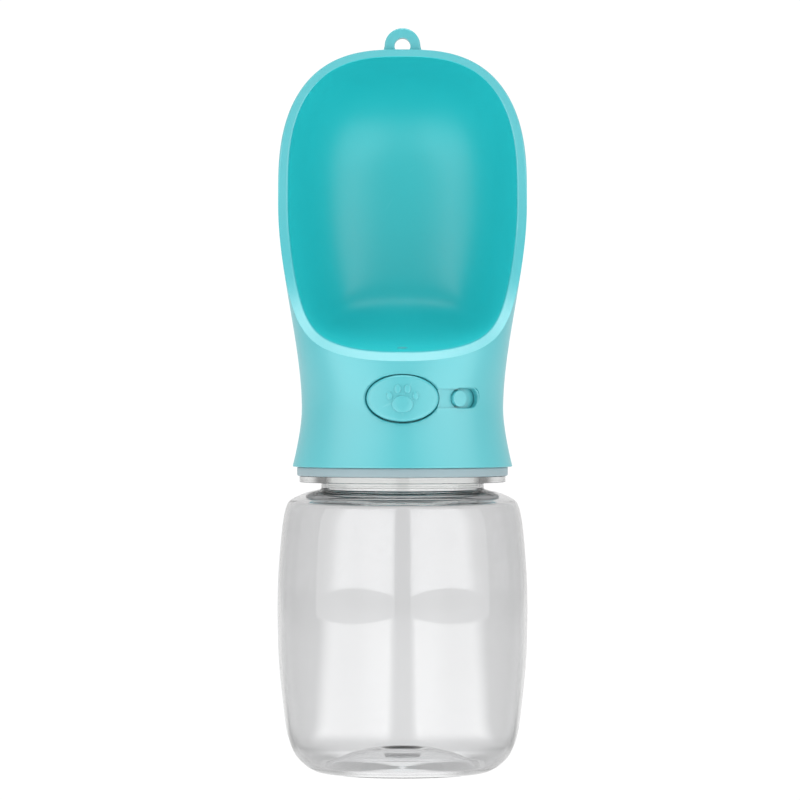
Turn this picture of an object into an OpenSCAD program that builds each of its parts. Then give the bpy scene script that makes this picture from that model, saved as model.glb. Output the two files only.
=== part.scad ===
// Dog travel water bottle: a clear bottle with a screw-on drinking head.
// The head is one scoop bowl with a push-button valve, a slide lock and a hang
// ring. Millimetres, Z up, the bowl faces -Y, origin at the middle of the foot.

/* [Bottle] */
// Largest outer diameter of the bottle
body_d = 75; // [66:0.5:95]
// Height from the foot to the top of the shoulder
shoulder_h = 84.8; // [70:0.2:160]
// Wall of the bottle
bottle_wall = 1.2; // [0.8:0.1:2.5]
// Height of the pushed-up middle of the base
punt_h = 5.6; // [3:0.1:9]
// Outer diameter of the neck
neck_d = 49.2; // [40:0.2:52]
// Diameter of the collar that the head screws down to
collar_d = 61.8; // [56:0.2:66]
// Thickness of the collar
collar_t = 1.9; // [1.2:0.1:4]
// Height of the threaded neck above the collar
finish_h = 12; // [10:0.1:20]

/* [Thread] */
// Rise of the thread in one turn
pitch = 4; // [3:0.5:6]
// Turns of the thread
thread_turns = 1.35; // [1:0.05:1.6]
// Height of the thread ridge off its wall
ridge = 1.6; // [1:0.1:1.8]
// Gap between the two threads, crest to wall
thread_gap = 0.4; // [0.3:0.05:0.8]

/* [Gasket] */
// Outer diameter of the neck gasket
gasket_d = 63.2; // [60:0.2:66]
// Thickness of the neck gasket
gasket_t = 2.7; // [1.5:0.1:5]

/* [Head] */
// Diameter of the head's bottom rim
skirt_d = 66; // [64:0.2:72]
// Diameter of the head at its waist
waist_d = 60.4; // [60:0.2:64]
// Height of the waist above the head's bottom rim
waist_up = 16.8; // [12:0.2:24]
// Width of the bowl
bowl_w = 74.6; // [66:0.2:90]
// Distance from the middle of the bottle to the back of the bowl
bowl_back = 35; // [32:0.2:45]
// Height of the bowl's front lip above the head's bottom rim
lip_up = 31.4; // [31:0.2:40]
// Height of the bowl's crown above the head's bottom rim
crown_up = 125.5; // [110:0.5:160]
// Wall of the bowl
bowl_wall = 2.6; // [1.6:0.1:4]
// Width of the flat rim round the bowl
rim_w = 3; // [2:0.1:5]
// Bore of the outlet in the bowl's floor
outlet_d = 3.3; // [2:0.1:5]

/* [Hang ring] */
// Width of the hang ring
ring_w = 10.8; // [8:0.1:16]
// Bore of the hang ring
ring_bore = 4.8; // [3:0.1:8]
// Thickness of the hang ring, front to back
ring_t = 4; // [2.5:0.1:7]

/* [Valve housing] */
// Wall of the threaded socket
socket_wall = 1.6; // [1.2:0.1:2.4]
// Thickness of the housing's deck
deck_t = 2.8; // [2:0.1:4]
// Height of the valve's axis above the head's bottom rim
valve_up = 20.5; // [19.5:0.1:24]
// Outer diameter of the valve barrel
barrel_d = 13.2; // [12:0.1:13.6]
// Bore of the rear valve chamber
rear_bore = 10; // [9:0.1:11]
// Bore of the front valve chamber
front_bore = 6; // [5.6:0.1:6.6]
// Bore of the valve seat
seat_bore = 5.4; // [5:0.1:5.8]

/* [Button] */
// Width of the button
button_w = 21.2; // [18:0.1:23]
// Height of the button
button_h = 13.7; // [12:0.1:15]
// Gap round the button
button_gap = 0.35; // [0.2:0.05:0.8]
// How far the button stands out of the skirt
button_proud = 1.2; // [0.4:0.1:2.5]
// Travel of the button
button_travel = 3; // [2:0.1:3.4]
// Width of the raised paw
paw_w = 9.6; // [6:0.1:12]
// Height of the raised paw
paw_h = 0.5; // [0.2:0.05:1]

/* [Valve stem] */
// Diameter of the valve stem
stem_d = 4; // [3.2:0.1:4.6]
// Diameter of the stem's tip, where the valve plug sits
tip_d = 3; // [2:0.1:3.2]
// Diameter of the valve plug
plug_d = 8.4; // [7:0.1:9]
// Thickness of the valve plug
plug_t = 2; // [1.2:0.1:3]
// Wire of the button's spring
wire_d = 0.7; // [0.4:0.05:1]
// Coils of the button's spring
spring_coils = 5; // [3:1:7]

/* [Lock] */
// Length of the lock's window along the skirt
window_w = 9.9; // [7:0.1:12]
// Height of the lock's window
window_h = 5.7; // [4:0.1:7]
// Diameter of the lock's knob
knob_d = 4.9; // [3:0.1:5]
// How far the knob stands out of the skirt
knob_proud = 0.7; // [0.2:0.1:2]
// Angle from the front to the middle of the window
window_at = 37.8; // [34:0.2:42]
// Skirt's wall left outside the slider
lock_wall = 1.5; // [1.2:0.1:2.2]

/* [Fasteners] */
// Shank diameter of the four housing screws
screw_d = 3; // [2.2:0.1:3.5]
// Length of the housing screws under their heads
screw_len = 10; // [8:0.5:11]
// Thickness of the rubber washers under their heads
seal_t = 0.8; // [0.5:0.1:1.2]
// Distance of the housing screws from the middle
screw_r = 19; // [18:0.1:20.5]
// Shank diameter of the two lock bracket screws
small_screw_d = 2; // [1.6:0.1:2.4]

/* [Fits] */
// Gap between pieces that are pushed or clipped together
fit = 0.05; // [0.02:0.01:0.15]
// Gap between pieces that slide past each other
slide_gap = 0.35; // [0.25:0.05:0.6]

/* [Hidden] */
$fn = 96;

teal = [0.35, 0.80, 0.82];
clear = [0.86, 0.90, 0.92, 0.35];
silicone = [0.62, 0.72, 0.75];
white = [0.90, 0.91, 0.90];
steel = [0.72, 0.73, 0.75];

// how far a cut runs to pass everything that it meets
past = crown_up / 2;

// levels
collar_z = shoulder_h + 1.8;
collar_top = collar_z + collar_t;
neck_top = collar_top + finish_h;
head_z = collar_top + gasket_t;
waist_z = head_z + waist_up;
lip_z = head_z + lip_up;
crown_z = head_z + crown_up;
full_z = lip_z + 0.504 * (crown_z - lip_z);
dome_z = lip_z + 0.557 * (crown_z - lip_z);
deck_z = neck_top + 0.7;
deck_top = deck_z + deck_t;
axis_z = head_z + valve_up;
ceiling_z = lip_z - 1.2;

// radii
body_r = body_d / 2;
neck_r = neck_d / 2;
skirt_r = skirt_d / 2;
waist_r = waist_d / 2;
crest_r = neck_r + ridge;
socket_r = crest_r + thread_gap;
socket_out = socket_r + socket_wall;
ledge_r = socket_out - 0.9;
cavity_r = socket_out + 0.2;
void_r = ledge_r + 0.1;
plug_in = 0.1;

// button
face_r = waist_r + button_proud;
flange_w = button_w + 3;
flange_h = button_h + 3;
flange_r = void_r - slide_gap;
flange_back = -(flange_r - 4.6);
button_skin = 1.6;
spring_r = stem_d / 2 + 2.1;

// valve, along Y from the button (front) to the chamber cap (back)
gland_flange = 0.8;
barrel_front = flange_back + button_travel + gland_flange + 0.55;
oring_w = 1.5;
gland_end = barrel_front + 1.6;
step_y = gland_end + oring_w;
port_r = 1.8;
port_y = step_y + port_r + 0.3;
seat_y = port_y + 14;
barrel_back = seat_y + 11.5;
rear_stop = barrel_back - 3;
gland_bore = stem_d + 2 * oring_w;
barrel_r = barrel_d / 2;
feed_y = seat_y + 5.5;
feed_r = 2.6;
riser_r = 4.2;
riser_top = ceiling_z - 1;
socket_up = 2.2;

// lock
pocket_r = waist_r - lock_wall;
slider_out = pocket_r - slide_gap;
slider_in = slider_out - 2;
slider_from = 30;
slider_to = 49;
slider_h = window_h + 3;
bracket_out = slider_in - 0.9;
bracket_in = bracket_out - 1.4;
bracket_from = 33;
bracket_to = 54;
knob_at = window_at - (window_w - knob_d - 0.4) / 2 / waist_r * 57.2958;
lock_turn = (window_w - knob_d - 0.4) / waist_r * 57.2958;

// the bottle's side, from the middle of the base up to the mouth
side = [[0, punt_h - 1.4], [5.2, punt_h - 1.4], [6.5, punt_h], [9.5, punt_h - 0.2],
        [14, punt_h * 0.78], [18, punt_h * 0.48], [20.6, punt_h * 0.2], [22.2, 0.3],
        [23.2, 0], [body_r - 12.2, 0], [body_r - 11.1, 0.3], [body_r - 9.8, 0.95],
        [body_r - 8.2, 2],
        [body_r - 5.8, 4.4], [body_r - 4.4, 6.8], [body_r - 3.5, 9.2],
        [body_r - 2.85, 11.6], [body_r - 2.4, 14.3], [body_r - 1.85, 18.8],
        [body_r - 1.3, 23.6], [body_r - 0.82, 28.4], [body_r - 0.42, 33.2],
        [body_r - 0.14, 40], [body_r, 49], [body_r - 0.15, shoulder_h - 27.6],
        [body_r - 0.6, shoulder_h - 20.4], [body_r - 1, shoulder_h - 15.6],
        [body_r - 1.5, shoulder_h - 10.8], [body_r - 2.2, shoulder_h - 6.4],
        [body_r - 3.1, shoulder_h - 3.9], [body_r - 4.3, shoulder_h - 3],
        [body_r - 6.1, shoulder_h - 2.25], [body_r - 9, shoulder_h - 1.25],
        [neck_r + 0.6, shoulder_h - 0.25], [neck_r - 0.1, shoulder_h + 0.3],
        [neck_r - 0.2, shoulder_h + 1], [neck_r - 0.2, collar_z],
        [neck_r, collar_top], [neck_r, neck_top - 0.6], [neck_r - 0.5, neck_top]];

function last(list) = len(list) - 1;
function sgn(v) = v < 0 ? -1 : 1;
function clamp(v) = min(max(v, 0), 1);
function ease(v) = let (u = clamp(v)) u * u * (3 - 2 * u);
function mix(a, b, t) = a + (b - a) * t;

// a path moved to its left by w
function inset(path, w) = [for (i = [0:last(path)])
    let (a = path[max(i - 1, 0)],
         b = path[min(i + 1, last(path))],
         d = (b - a) / norm(b - a))
    path[i] + w * [-d[1], d[0]]];

// the faces of a stack of equal rings, closed by a fan at each end
function stack_faces(rings, n) = concat(
    [for (r = [0:rings - 2]) for (k = [0:n - 1])
        let (a = 1 + r * n + k, b = 1 + r * n + (k + 1) % n) [a, a + n, b]],
    [for (r = [0:rings - 2]) for (k = [0:n - 1])
        let (a = 1 + r * n + k, b = 1 + r * n + (k + 1) % n) [b, a + n, b + n]],
    [for (k = [0:n - 1]) [0, 1 + k, 1 + (k + 1) % n]],
    [for (k = [0:n - 1])
        let (a = 1 + (rings - 1) * n)
        [a + n, a + (k + 1) % n, a + k]]);

// the head's outer shape: half width, half depth and squareness at a height
function half_w(z) =
    z < waist_z ? waist_r + (skirt_r - waist_r) * pow((waist_z - z) / waist_up, 1.5)
    : z < dome_z ? mix(waist_r, bowl_w / 2, ease((z - waist_z) / (full_z - waist_z)))
    : bowl_w / 2 * pow(max(0, 1 - pow((z - dome_z) / (crown_z - dome_z), 2.5)), 1 / 2.8);
function half_d(z) =
    z < dome_z ? half_w(z) * mix(1, bowl_back / (bowl_w / 2),
                                 ease((z - waist_z) / (full_z - waist_z)))
    : bowl_back * sqrt(max(0, 1 - pow((z - dome_z) / (crown_z - dome_z), 2.2)));
function square_n(z) = 2 + 0.6 * ease((z - waist_z) / (lip_z + 6 - waist_z));
back_n = 2.2;
function skin(z, t) =
    let (n = cos(t) > 0 ? square_n(z) : mix(2, back_n, ease((z - waist_z) / 30)))
    [half_w(z) * sgn(sin(t)) * pow(abs(sin(t)), 2 / n),
     -half_d(z) * sgn(cos(t)) * pow(abs(cos(t)), 2 / n), z];

// the bowl's cut: how far forward the rim lies at a height, as a share of the depth
cut_len = 16.5;
function cut(z) = exp(-(z - lip_z) / cut_len);
function cut_t(z) = acos(min(1, pow(cut(z), square_n(z) / 2)));

// the rim's outer edge, then the same edge in even steps from lip to crown
fine = 240;
half = 24;
columns = 2 * half;
rise = crown_z - lip_z;
function rim_level(v) =
    v < 0.5 ? lip_z + rise * 0.5 * pow(2 * v, 2)
    : crown_z - rise * 0.5 * pow(2 - 2 * v, 2.6);
fine_z = [for (i = [0:fine]) rim_level(i / fine)];
fine_p = [for (z = fine_z) skin(z, cut_t(z))];
fine_l = [for (i = 0, s = 0; i <= fine;
               s = s + (i < fine ? norm(fine_p[i + 1] - fine_p[i]) : 0), i = i + 1) s];
level_at = [for (i = [0:fine]) [fine_l[i], fine_z[i]]];
rim_z = [for (j = [0:half]) j == half ? crown_z
                            : lookup(fine_l[fine] * j / half, level_at)];
rim_t = [for (z = rim_z) cut_t(z)];
rim_p = [for (j = [0:half]) j == half ? [0, 0, crown_z] : skin(rim_z[j], rim_t[j])];

// the rim's inner edge, stepped in by the rim's width as seen from the front
function rim_in(j) =
    let (a = rim_p[max(j - 1, 0)], b = rim_p[min(j + 1, half)],
         ax = j == 0 ? -rim_p[1][0] : a[0],
         bx = j == half ? -rim_p[half - 1][0] : b[0],
         bz = j == half ? a[2] : b[2],
         az = j == 0 ? b[2] : a[2],
         d = [bx - ax, bz - az] / norm([bx - ax, bz - az]),
         w = rim_w * (j < 5 ? mix(0.93, 1, j / 5) : mix(1, 0.8, ease((j - 15) / 9))))
    [rim_p[j][0] - w * d[1],
     rim_p[j][1] + 2.7 * (1 - ease(j / 10)) * rim_w / 3 + 0.2,
     rim_p[j][2] + w * d[0]];

// rows of the outer skin over the skirt and up to the rim
low_rows = 7;
high_rows = 16;
split_z = lip_z - 4.6;
function low_ring(i, j) = skin(mix(head_z, split_z, i / low_rows), 180 * j / half);
function back_t(z, j, q) =
    let (n = mix(2, back_n, ease((z - waist_z) / 30)),
         r = mix(sin(180 * j / half), min(1, rim_p[j][0] / half_w(z)), ease(q * 1.5)))
    j == half ? 180 : 180 - asin(min(1, pow(r, n / 2))) - (90 - rim_t[j]) * q * q;
function high_ring(i, j) =
    let (q = 1 - pow(1 - i / high_rows, 1.6),
         z = mix(split_z, rim_z[j], q),
         t = mix(180 * j / half, rim_t[j], q))
    skin(z, j < half / 2 ? t : mix(t, back_t(z, j, q), ease((j / half - 0.5) / 0.3)));
function outer_ring(i, j) = i <= low_rows ? low_ring(i, j) : high_ring(i - low_rows, j);

// the bowl's inside: a ramp that rises from the lip, and a wall that follows the skin
pole_z = lip_z + 0.6 * rise;
pole_y = bowl_back - bowl_wall;
lip_in = rim_in(0);
floor_n = 4.5;
floor_bend = 3;
function soft_min(a, b, k) = let (h = clamp(0.5 + 0.5 * (b - a) / k)) mix(b, a, h) - k * h * (1 - h);
function ramp_y(z) =
    let (r = clamp((pole_z - z) / (pole_z - lip_in[2])))
    mix(lip_in[1], pole_y, pow(1 - pow(r, floor_n), 1 / floor_bend));
function floor_z(y) =
    let (v = pow(clamp((y - lip_in[1]) / (pole_y - lip_in[1])), floor_bend))
    mix(pole_z, lip_in[2], pow(1 - v, 1 / floor_n));
function dome_share(z, p) = 1 - pow(clamp((z - dome_z) / (crown_z - bowl_wall - dome_z)), p);
function wall_y(x, z) =
    let (w = (z < dome_z ? half_w(z) - bowl_wall
              : (bowl_w / 2 - bowl_wall) * pow(dome_share(z, 2.5), 1 / 2.8)) + 0.001,
         d = z < dome_z ? half_d(z) - bowl_wall
             : (bowl_back - bowl_wall) * sqrt(dome_share(z, 2.2)))
    d * pow(clamp(1 - pow(abs(x) / w, back_n)), 1 / back_n);
function bowl_y(x, z) = soft_min(wall_y(x, z), ramp_y(z), 3);

// rows of it, from the rim's inner edge back to the middle
bowl_rows = 14;
function bowl_ring(k, j) =
    let (e = rim_in(j),
         f = cos(90 * k / bowl_rows),
         x = e[0] * f,
         z = mix(pole_z, e[2], f),
         g = pow(1 - pow(f, 12), 0.45))
    [x, k == 0 ? e[1] : mix(e[1], max(e[1], bowl_y(x, z)), g), z];

function mirrored(row) = concat(row, [for (j = [half - 1:-1:1]) [-row[j][0], row[j][1], row[j][2]]]);
function shell_rows() = concat(
    [for (i = [0:low_rows + high_rows - 1]) [for (j = [0:half]) outer_ring(i, j)]],
    [rim_p],
    [for (k = [0:bowl_rows - 1]) [for (j = [0:half]) bowl_ring(k, j)]]);

module shell_skin() {
    rows = shell_rows();
    points = concat([[0, 0, head_z]],
                    [for (row = rows) each mirrored(row)],
                    [[0, bowl_y(0, pole_z), pole_z]]);
    polyhedron(points = points, faces = stack_faces(len(rows), columns), convexity = 8);
}

// a ring about the Z axis between two radii, two heights and two angles,
// where the angle is counted from the front (-Y) toward +X
module arc_block(r0, r1, z0, z1, a0, a1) {
    rotate([0, 0, a0 - 90])
    rotate_extrude(angle = a1 - a0, $fn = 288)
    translate([r0, z0])
    square([r1 - r0, z1 - z0]);
}

// a cylinder along Y on the valve's axis
module along(y0, y1, r) {
    translate([0, y0, axis_z])
    rotate([-90, 0, 0])
    cylinder(r = r, h = y1 - y0);
}

// a ring along Y on the valve's axis
module ring_y(y0, y1, r_in, r_out) {
    difference() {
        along(y0, y1, r_out);
        along(y0 - 1, y1 + 1, r_in);
    }
}

// an oval plate along Y on the valve's axis
module oval(y0, y1, w, h) {
    points = [for (a = [0:5:355]) [w / 2 * cos(a), h / 2 * sin(a)]];
    translate([0, y1, axis_z])
    rotate([90, 0, 0])
    linear_extrude(height = y1 - y0)
    polygon(points);
}

// a screw thread ridge about the Z axis, root at r0 and crest at r1
module ridge_coil(r0, r1, z0) {
    steps = round(thread_turns * 36);
    points = [for (i = [0:steps])
        let (a = 360 * thread_turns * i / steps,
             f = min(1, 0.25 + min(i, steps - i) / 4),
             rc = mix(r0, r1, f),
             zc = z0 + pitch * a / 360)
        each [[r0 * cos(a), r0 * sin(a), zc - pitch * 0.26],
              [rc * cos(a), rc * sin(a), zc - pitch * 0.13],
              [rc * cos(a), rc * sin(a), zc + pitch * 0.13],
              [r0 * cos(a), r0 * sin(a), zc + pitch * 0.26]]];
    inward = r1 < r0;
    sides = [for (i = [0:steps - 1]) for (k = [0:3])
        let (a = 4 * i + k, b = 4 * i + (k + 1) % 4)
        each [[a, b, a + 4], [b, b + 4, a + 4]]];
    m = 4 * steps;
    ends = [[0, 2, 1], [0, 3, 2], [m, m + 1, m + 2], [m, m + 2, m + 3]];
    faces = concat(sides, ends);
    flipped = [for (f = faces) [f[2], f[1], f[0]]];
    polyhedron(points = points, faces = inward ? flipped : faces, convexity = 6);
}

module bottle() {
    inner = inset(side, bottle_wall);
    top = [[neck_r - bottle_wall - 0.5, neck_top], [neck_r - bottle_wall - 0.4, collar_top]];
    walls = [for (i = [0:last(side) - 4]) inner[i]];
    back = concat(top, [for (i = [last(walls):-1:1]) walls[i]],
                  [[0, punt_h - 1.4 + bottle_wall]]);
    color(clear)
    union() {
        rotate_extrude()
        polygon(concat(side, back));
        difference() {
            translate([0, 0, collar_z])
            cylinder(d = collar_d, h = collar_t);
            translate([0, 0, collar_z - 1])
            cylinder(r = neck_r - 0.6, h = collar_t + 2);
        }
        ridge_coil(neck_r - 0.2, crest_r, collar_top + 3.6);
    }
}

module neck_gasket() {
    color(silicone)
    translate([0, 0, collar_top])
    difference() {
        cylinder(d = gasket_d, h = gasket_t);
        translate([0, 0, -1])
        cylinder(r = crest_r + slide_gap, h = gasket_t + 2);
    }
}

// the screws' places, as angles from the front
screw_at = [70, 123, 237, 290];
boss_r = screw_d / 2 + 2;

// a boss ends inside the bowl's floor above its front edge
function boss_top(a) = max(ceiling_z + 1,
                           floor_z(-screw_r * cos(a) - boss_r) - bowl_wall * 0.35);

module at_screws(z) {
    for (a = screw_at)
        rotate([0, 0, a - 90])
        translate([screw_r, 0, z])
        children();
}

// the two small screws that hold the lock's bracket
bracket_screw_at = [37, 49];
bracket_screw_r = bracket_in - 2.4;
bracket_top = 1.6;

module at_bracket_screws(z) {
    for (a = bracket_screw_at)
        rotate([0, 0, a - 90])
        translate([bracket_screw_r, 0, z])
        children();
}

module under_bowl() {
    top = [for (y = [barrel_front + 5:3:void_r - 3]) [y, floor_z(y + bowl_wall * 0.6) - bowl_wall * 1.25]];
    kept = [for (p = top) if (p[1] > ceiling_z) p];
    translate([-past, 0, 0])
    rotate([90, 0, 90])
    linear_extrude(height = 2 * past)
    polygon(concat([[-past, deck_z], [-past, ceiling_z], [kept[0][0] - 2, ceiling_z]], kept,
                   [[void_r + 10, last(kept) >= 0 ? kept[last(kept)][1] : ceiling_z],
                    [void_r + 10, deck_z]]));
}

module shell_cavity() {
    translate([0, 0, head_z - 1])
    cylinder(r = cavity_r, h = deck_top - head_z + 1);
    intersection() {
        translate([0, 0, deck_top - 1])
        cylinder(r = void_r, h = crown_z - deck_top);
        under_bowl();
    }
}

// the hang ring's front face and the middle of its bore
ring_y0 = 5;
ring_z = crown_z + ring_bore / 2 - 1.2;

module hang_ring() {
    foot = ring_w / 2 + 0.75;
    translate([0, ring_y0 + ring_t, 0])
    rotate([90, 0, 0])
    linear_extrude(height = ring_t)
    union() {
        translate([0, ring_z])
        circle(d = ring_w);
        polygon([[-foot, crown_z - 2.4], [foot, crown_z - 2.4], [foot - 0.5, crown_z - 0.6],
                 [ring_w / 2 - 0.4, ring_z], [0.4 - ring_w / 2, ring_z],
                 [0.5 - foot, crown_z - 0.6]]);
    }
}

module head_shell() {
    color(teal)
    difference() {
        union() {
            difference() {
                shell_skin();
                shell_cavity();
            }
            // bosses for the housing screws
            for (a = screw_at)
                rotate([0, 0, a - 90])
                translate([screw_r, 0, deck_top])
                cylinder(r = boss_r, h = boss_top(a) - deck_top);
            hang_ring();
            // raised lip round the outlet
            translate([0, port_y, floor_z(port_y) - 2])
            cylinder(d = outlet_d + 2, h = 2.7);
        }
        // bore of the hang ring, clear of the rim in front of it
        translate([0, ring_y0 + 8, ring_z])
        rotate([90, 0, 0])
        cylinder(d = ring_bore, h = 9);
        // pilots of the housing screws
        at_screws(deck_z)
        cylinder(d = screw_d + plug_in * 0.2, h = screw_len - seal_t + 2);
        // outlet, and the socket for its grommet
        translate([0, port_y, ceiling_z - 1])
        cylinder(d = outlet_d, h = 20);
        translate([0, port_y, ceiling_z - 1])
        cylinder(r = riser_r + fit, h = socket_up + 1);
        // opening for the button
        oval(-past, barrel_front, button_w + 2 * button_gap, button_h + 2 * button_gap);
        // window for the lock's knob, with a shallow track from the button
        rotate([0, 0, window_at - 90])
        translate([10, 0, axis_z])
        rotate([0, 90, 0])
        for (s = [-1, 1])
            translate([0, s * (window_w - window_h) / 2, 0])
            cylinder(d = window_h, h = past);
        rotate([0, 0, window_at - 90])
        translate([10, -(window_w - window_h) / 2, axis_z - window_h / 2])
        cube([past, window_w - window_h, window_h]);
        arc_block(waist_r - 0.25, waist_r + 9, axis_z - window_h / 2, axis_z + window_h / 2,
                  20, window_at - 6);
        // pocket that the slider runs in
        arc_block(void_r - 1, pocket_r, axis_z - slider_h / 2 - slide_gap,
                  axis_z + slider_h / 2 + slide_gap, slider_from - 1.4,
                  slider_to + lock_turn + 3.3);
        // pilots of the lock bracket's screws
        at_bracket_screws(ceiling_z - 1)
        cylinder(d = small_screw_d + plug_in * 0.2, h = 5.2);
    }
}

module valve_housing() {
    color(teal)
    difference() {
        union() {
            // threaded socket
            difference() {
                translate([0, 0, head_z])
                cylinder(r = socket_out, h = deck_top - head_z - 0.1);
                translate([0, 0, head_z - 1])
                cylinder(r = socket_r, h = deck_z - head_z + 1);
            }
            ridge_coil(socket_r + 0.2, neck_r + thread_gap, collar_top + 3.6 + pitch / 2);
            // barrel on its web
            along(barrel_front, barrel_back, barrel_r);
            translate([-3.6, barrel_front + 1.5, deck_z + 1])
            cube([7.2, barrel_back - barrel_front - 3, axis_z - deck_z - 1]);
            translate([0, feed_y, deck_z + 1])
            cylinder(r = feed_r + 1.8, h = axis_z - deck_z - 1);
            // riser to the outlet
            translate([0, port_y, axis_z])
            cylinder(r = riser_r, h = riser_top - axis_z);
        }
        // groove for the seal round the deck
        difference() {
            translate([0, 0, deck_top - 2.1])
            cylinder(r = socket_out + 5, h = 1.3);
            translate([0, 0, deck_top - 3])
            cylinder(r = socket_out - 1.1, h = 3);
        }
        // front chamber, gland and rear chamber
        along(barrel_front - 1, step_y, gland_bore / 2);
        along(step_y - 0.1, seat_y - 1, front_bore / 2);
        along(seat_y - 2, seat_y + 1, seat_bore / 2);
        along(seat_y, barrel_back + 1, rear_bore / 2);
        // port to the bowl and feed from the bottle
        translate([0, port_y, axis_z])
        cylinder(r = port_r, h = 30);
        translate([0, feed_y, deck_z - 5])
        cylinder(r = feed_r, h = axis_z - deck_z + 5);
        // holes for the screws
        at_screws(deck_z - 1)
        cylinder(d = screw_d + 0.3, h = deck_t + 3);
    }
}

module ring_about_z(r, thick, z) {
    translate([0, 0, z])
    rotate_extrude()
    translate([r, 0])
    circle(r = thick / 2, $fn = 24);
}

module housing_seal() {
    color(silicone)
    ring_about_z(socket_out - 0.46, 1.2, deck_top - 1.45);
}

module housing_screws() {
    color(steel)
    at_screws(deck_z - seal_t)
    union() {
        cylinder(d = screw_d, h = screw_len);
        difference() {
            translate([0, 0, -0.6 * screw_d])
            cylinder(d = screw_d * 1.8, h = 0.6 * screw_d);
            for (a = [0, 90])
                rotate([0, 0, a])
                translate([-0.43 * screw_d, -0.1 * screw_d, -screw_d])
                cube([0.86 * screw_d, 0.2 * screw_d, 0.7 * screw_d]);
        }
    }
}

module screw_seals() {
    color(silicone)
    at_screws(deck_z - seal_t)
    difference() {
        cylinder(d = screw_d * 1.9, h = seal_t);
        translate([0, 0, -1])
        cylinder(d = screw_d + 0.04, h = 3);
    }
}

module outlet_grommet() {
    color(silicone)
    translate([0, port_y, riser_top])
    difference() {
        cylinder(r = riser_r, h = ceiling_z + socket_up - riser_top);
        translate([0, 0, -1])
        cylinder(r = port_r, h = 8);
    }
}

module gland_cap() {
    color(white)
    difference() {
        union() {
            along(barrel_front - gland_flange, barrel_front, barrel_r - 0.4);
            along(barrel_front - 0.1, gland_end, gland_bore / 2 - fit);
        }
        along(barrel_front - 2, gland_end + 1, stem_d / 2 + 0.1);
    }
}

// a rubber ring round the valve's axis
module ring_axis(y, r, thick) {
    translate([0, y, axis_z])
    rotate([90, 0, 0])
    rotate_extrude()
    translate([r, 0])
    circle(r = thick / 2, $fn = 24);
}

module stem_oring() {
    color(silicone)
    ring_axis(gland_end + oring_w / 2, stem_d / 2 + oring_w / 2, oring_w - 0.1);
}

module chamber_cap() {
    color(white)
    difference() {
        union() {
            along(rear_stop, barrel_back, rear_bore / 2 - fit);
            along(barrel_back, barrel_back + 1.5, barrel_r);
        }
        ring_y(rear_stop + 0.7, rear_stop + 2.2, rear_bore / 2 - 1.4, rear_bore);
        along(rear_stop - 1, rear_stop + 0.4, 2.6);
    }
}

module cap_oring() {
    color(silicone)
    ring_axis(rear_stop + 1.45, rear_bore / 2 - 0.7, 1.36);
}

// paw pad and toes, as seen from the front
module paw_shape() {
    translate([0, -paw_w * 0.17])
    circle(d = paw_w * 0.56);
    for (s = [-1, 1])
        translate([s * paw_w * 0.14, -paw_w * 0.23])
        circle(d = paw_w * 0.375);
    for (s = [-1, 1]) {
        translate([s * paw_w * 0.15, paw_w * 0.286])
        circle(d = paw_w * 0.22);
        translate([s * paw_w * 0.4, paw_w * 0.078])
        circle(d = paw_w * 0.2);
    }
}

module button() {
    color(teal)
    difference() {
        union() {
            intersection() {
                oval(-past, flange_back, button_w, button_h);
                cylinder(r = face_r, h = crown_z);
            }
            intersection() {
                oval(-past, flange_back, flange_w, flange_h);
                translate([0, 0, deck_top + slide_gap + 0.15])
                cylinder(r = flange_r, h = crown_z);
            }
            intersection() {
                translate([0, flange_back, axis_z])
                rotate([90, 0, 0])
                linear_extrude(height = past)
                paw_shape();
                cylinder(r = face_r + paw_h, h = crown_z);
            }
        }
        // hollow back, with a boss for the stem
        difference() {
            oval(-waist_r + button_skin, 0, button_w - 2 * button_skin, button_h - 2 * button_skin);
            along(-past, flange_back - 1.2, stem_d / 2 + 1.2);
        }
        along(-waist_r + button_skin + 0.6, 0, stem_d / 2 + fit / 2);
    }
}

module button_spring() {
    front = -waist_r + button_skin;
    back = barrel_front - gland_flange;
    turns = spring_coils;
    steps = turns * 18;
    sides = 6;
    run = back - front - wire_d - 0.1;
    points = [for (i = [0:steps])
        let (a = 360 * turns * i / steps,
             y = front + 0.05 + wire_d / 2 + run * i / steps)
        each [for (k = [0:sides - 1])
            let (b = 360 * k / sides,
                 r = spring_r + wire_d / 2 * cos(b))
            [r * cos(a), y + wire_d / 2 * sin(b), axis_z + r * sin(a)]]];
    tube = [for (i = [0:steps - 1]) for (k = [0:sides - 1])
        let (a = sides * i + k, b = sides * i + (k + 1) % sides)
        each [[a, b, a + sides], [b, b + sides, a + sides]]];
    m = sides * steps;
    ends = concat([for (k = [1:sides - 2]) [0, k + 1, k]],
                  [for (k = [1:sides - 2]) [m, m + k, m + k + 1]]);
    color(steel)
    polyhedron(points = points, faces = [for (f = concat(tube, ends)) [f[2], f[1], f[0]]],
               convexity = 10);
}

module valve_stem() {
    flow_y = step_y + 1.5;
    clip_y = seat_y + plug_t + 0.6;
    color(white)
    difference() {
        union() {
            along(-waist_r + button_skin + 0.7, flow_y, stem_d / 2);
            along(flow_y - 0.1, seat_y - 1, tip_d / 2);
            along(seat_y - 1, seat_y, seat_bore / 2 - 0.6);
            along(seat_y - 0.1, clip_y + 1.4, tip_d / 2);
        }
        ring_y(clip_y, clip_y + 0.6, tip_d / 2 - 0.4, tip_d);
    }
}

module valve_plug() {
    color(silicone)
    difference() {
        along(seat_y, seat_y + plug_t, plug_d / 2);
        along(seat_y - 1, seat_y + plug_t + 1, tip_d / 2 + fit / 2);
    }
}

module plug_washer() {
    color(steel)
    ring_y(seat_y + plug_t, seat_y + plug_t + 0.6, tip_d / 2 + fit, plug_d / 2 - 0.8);
}

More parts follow.
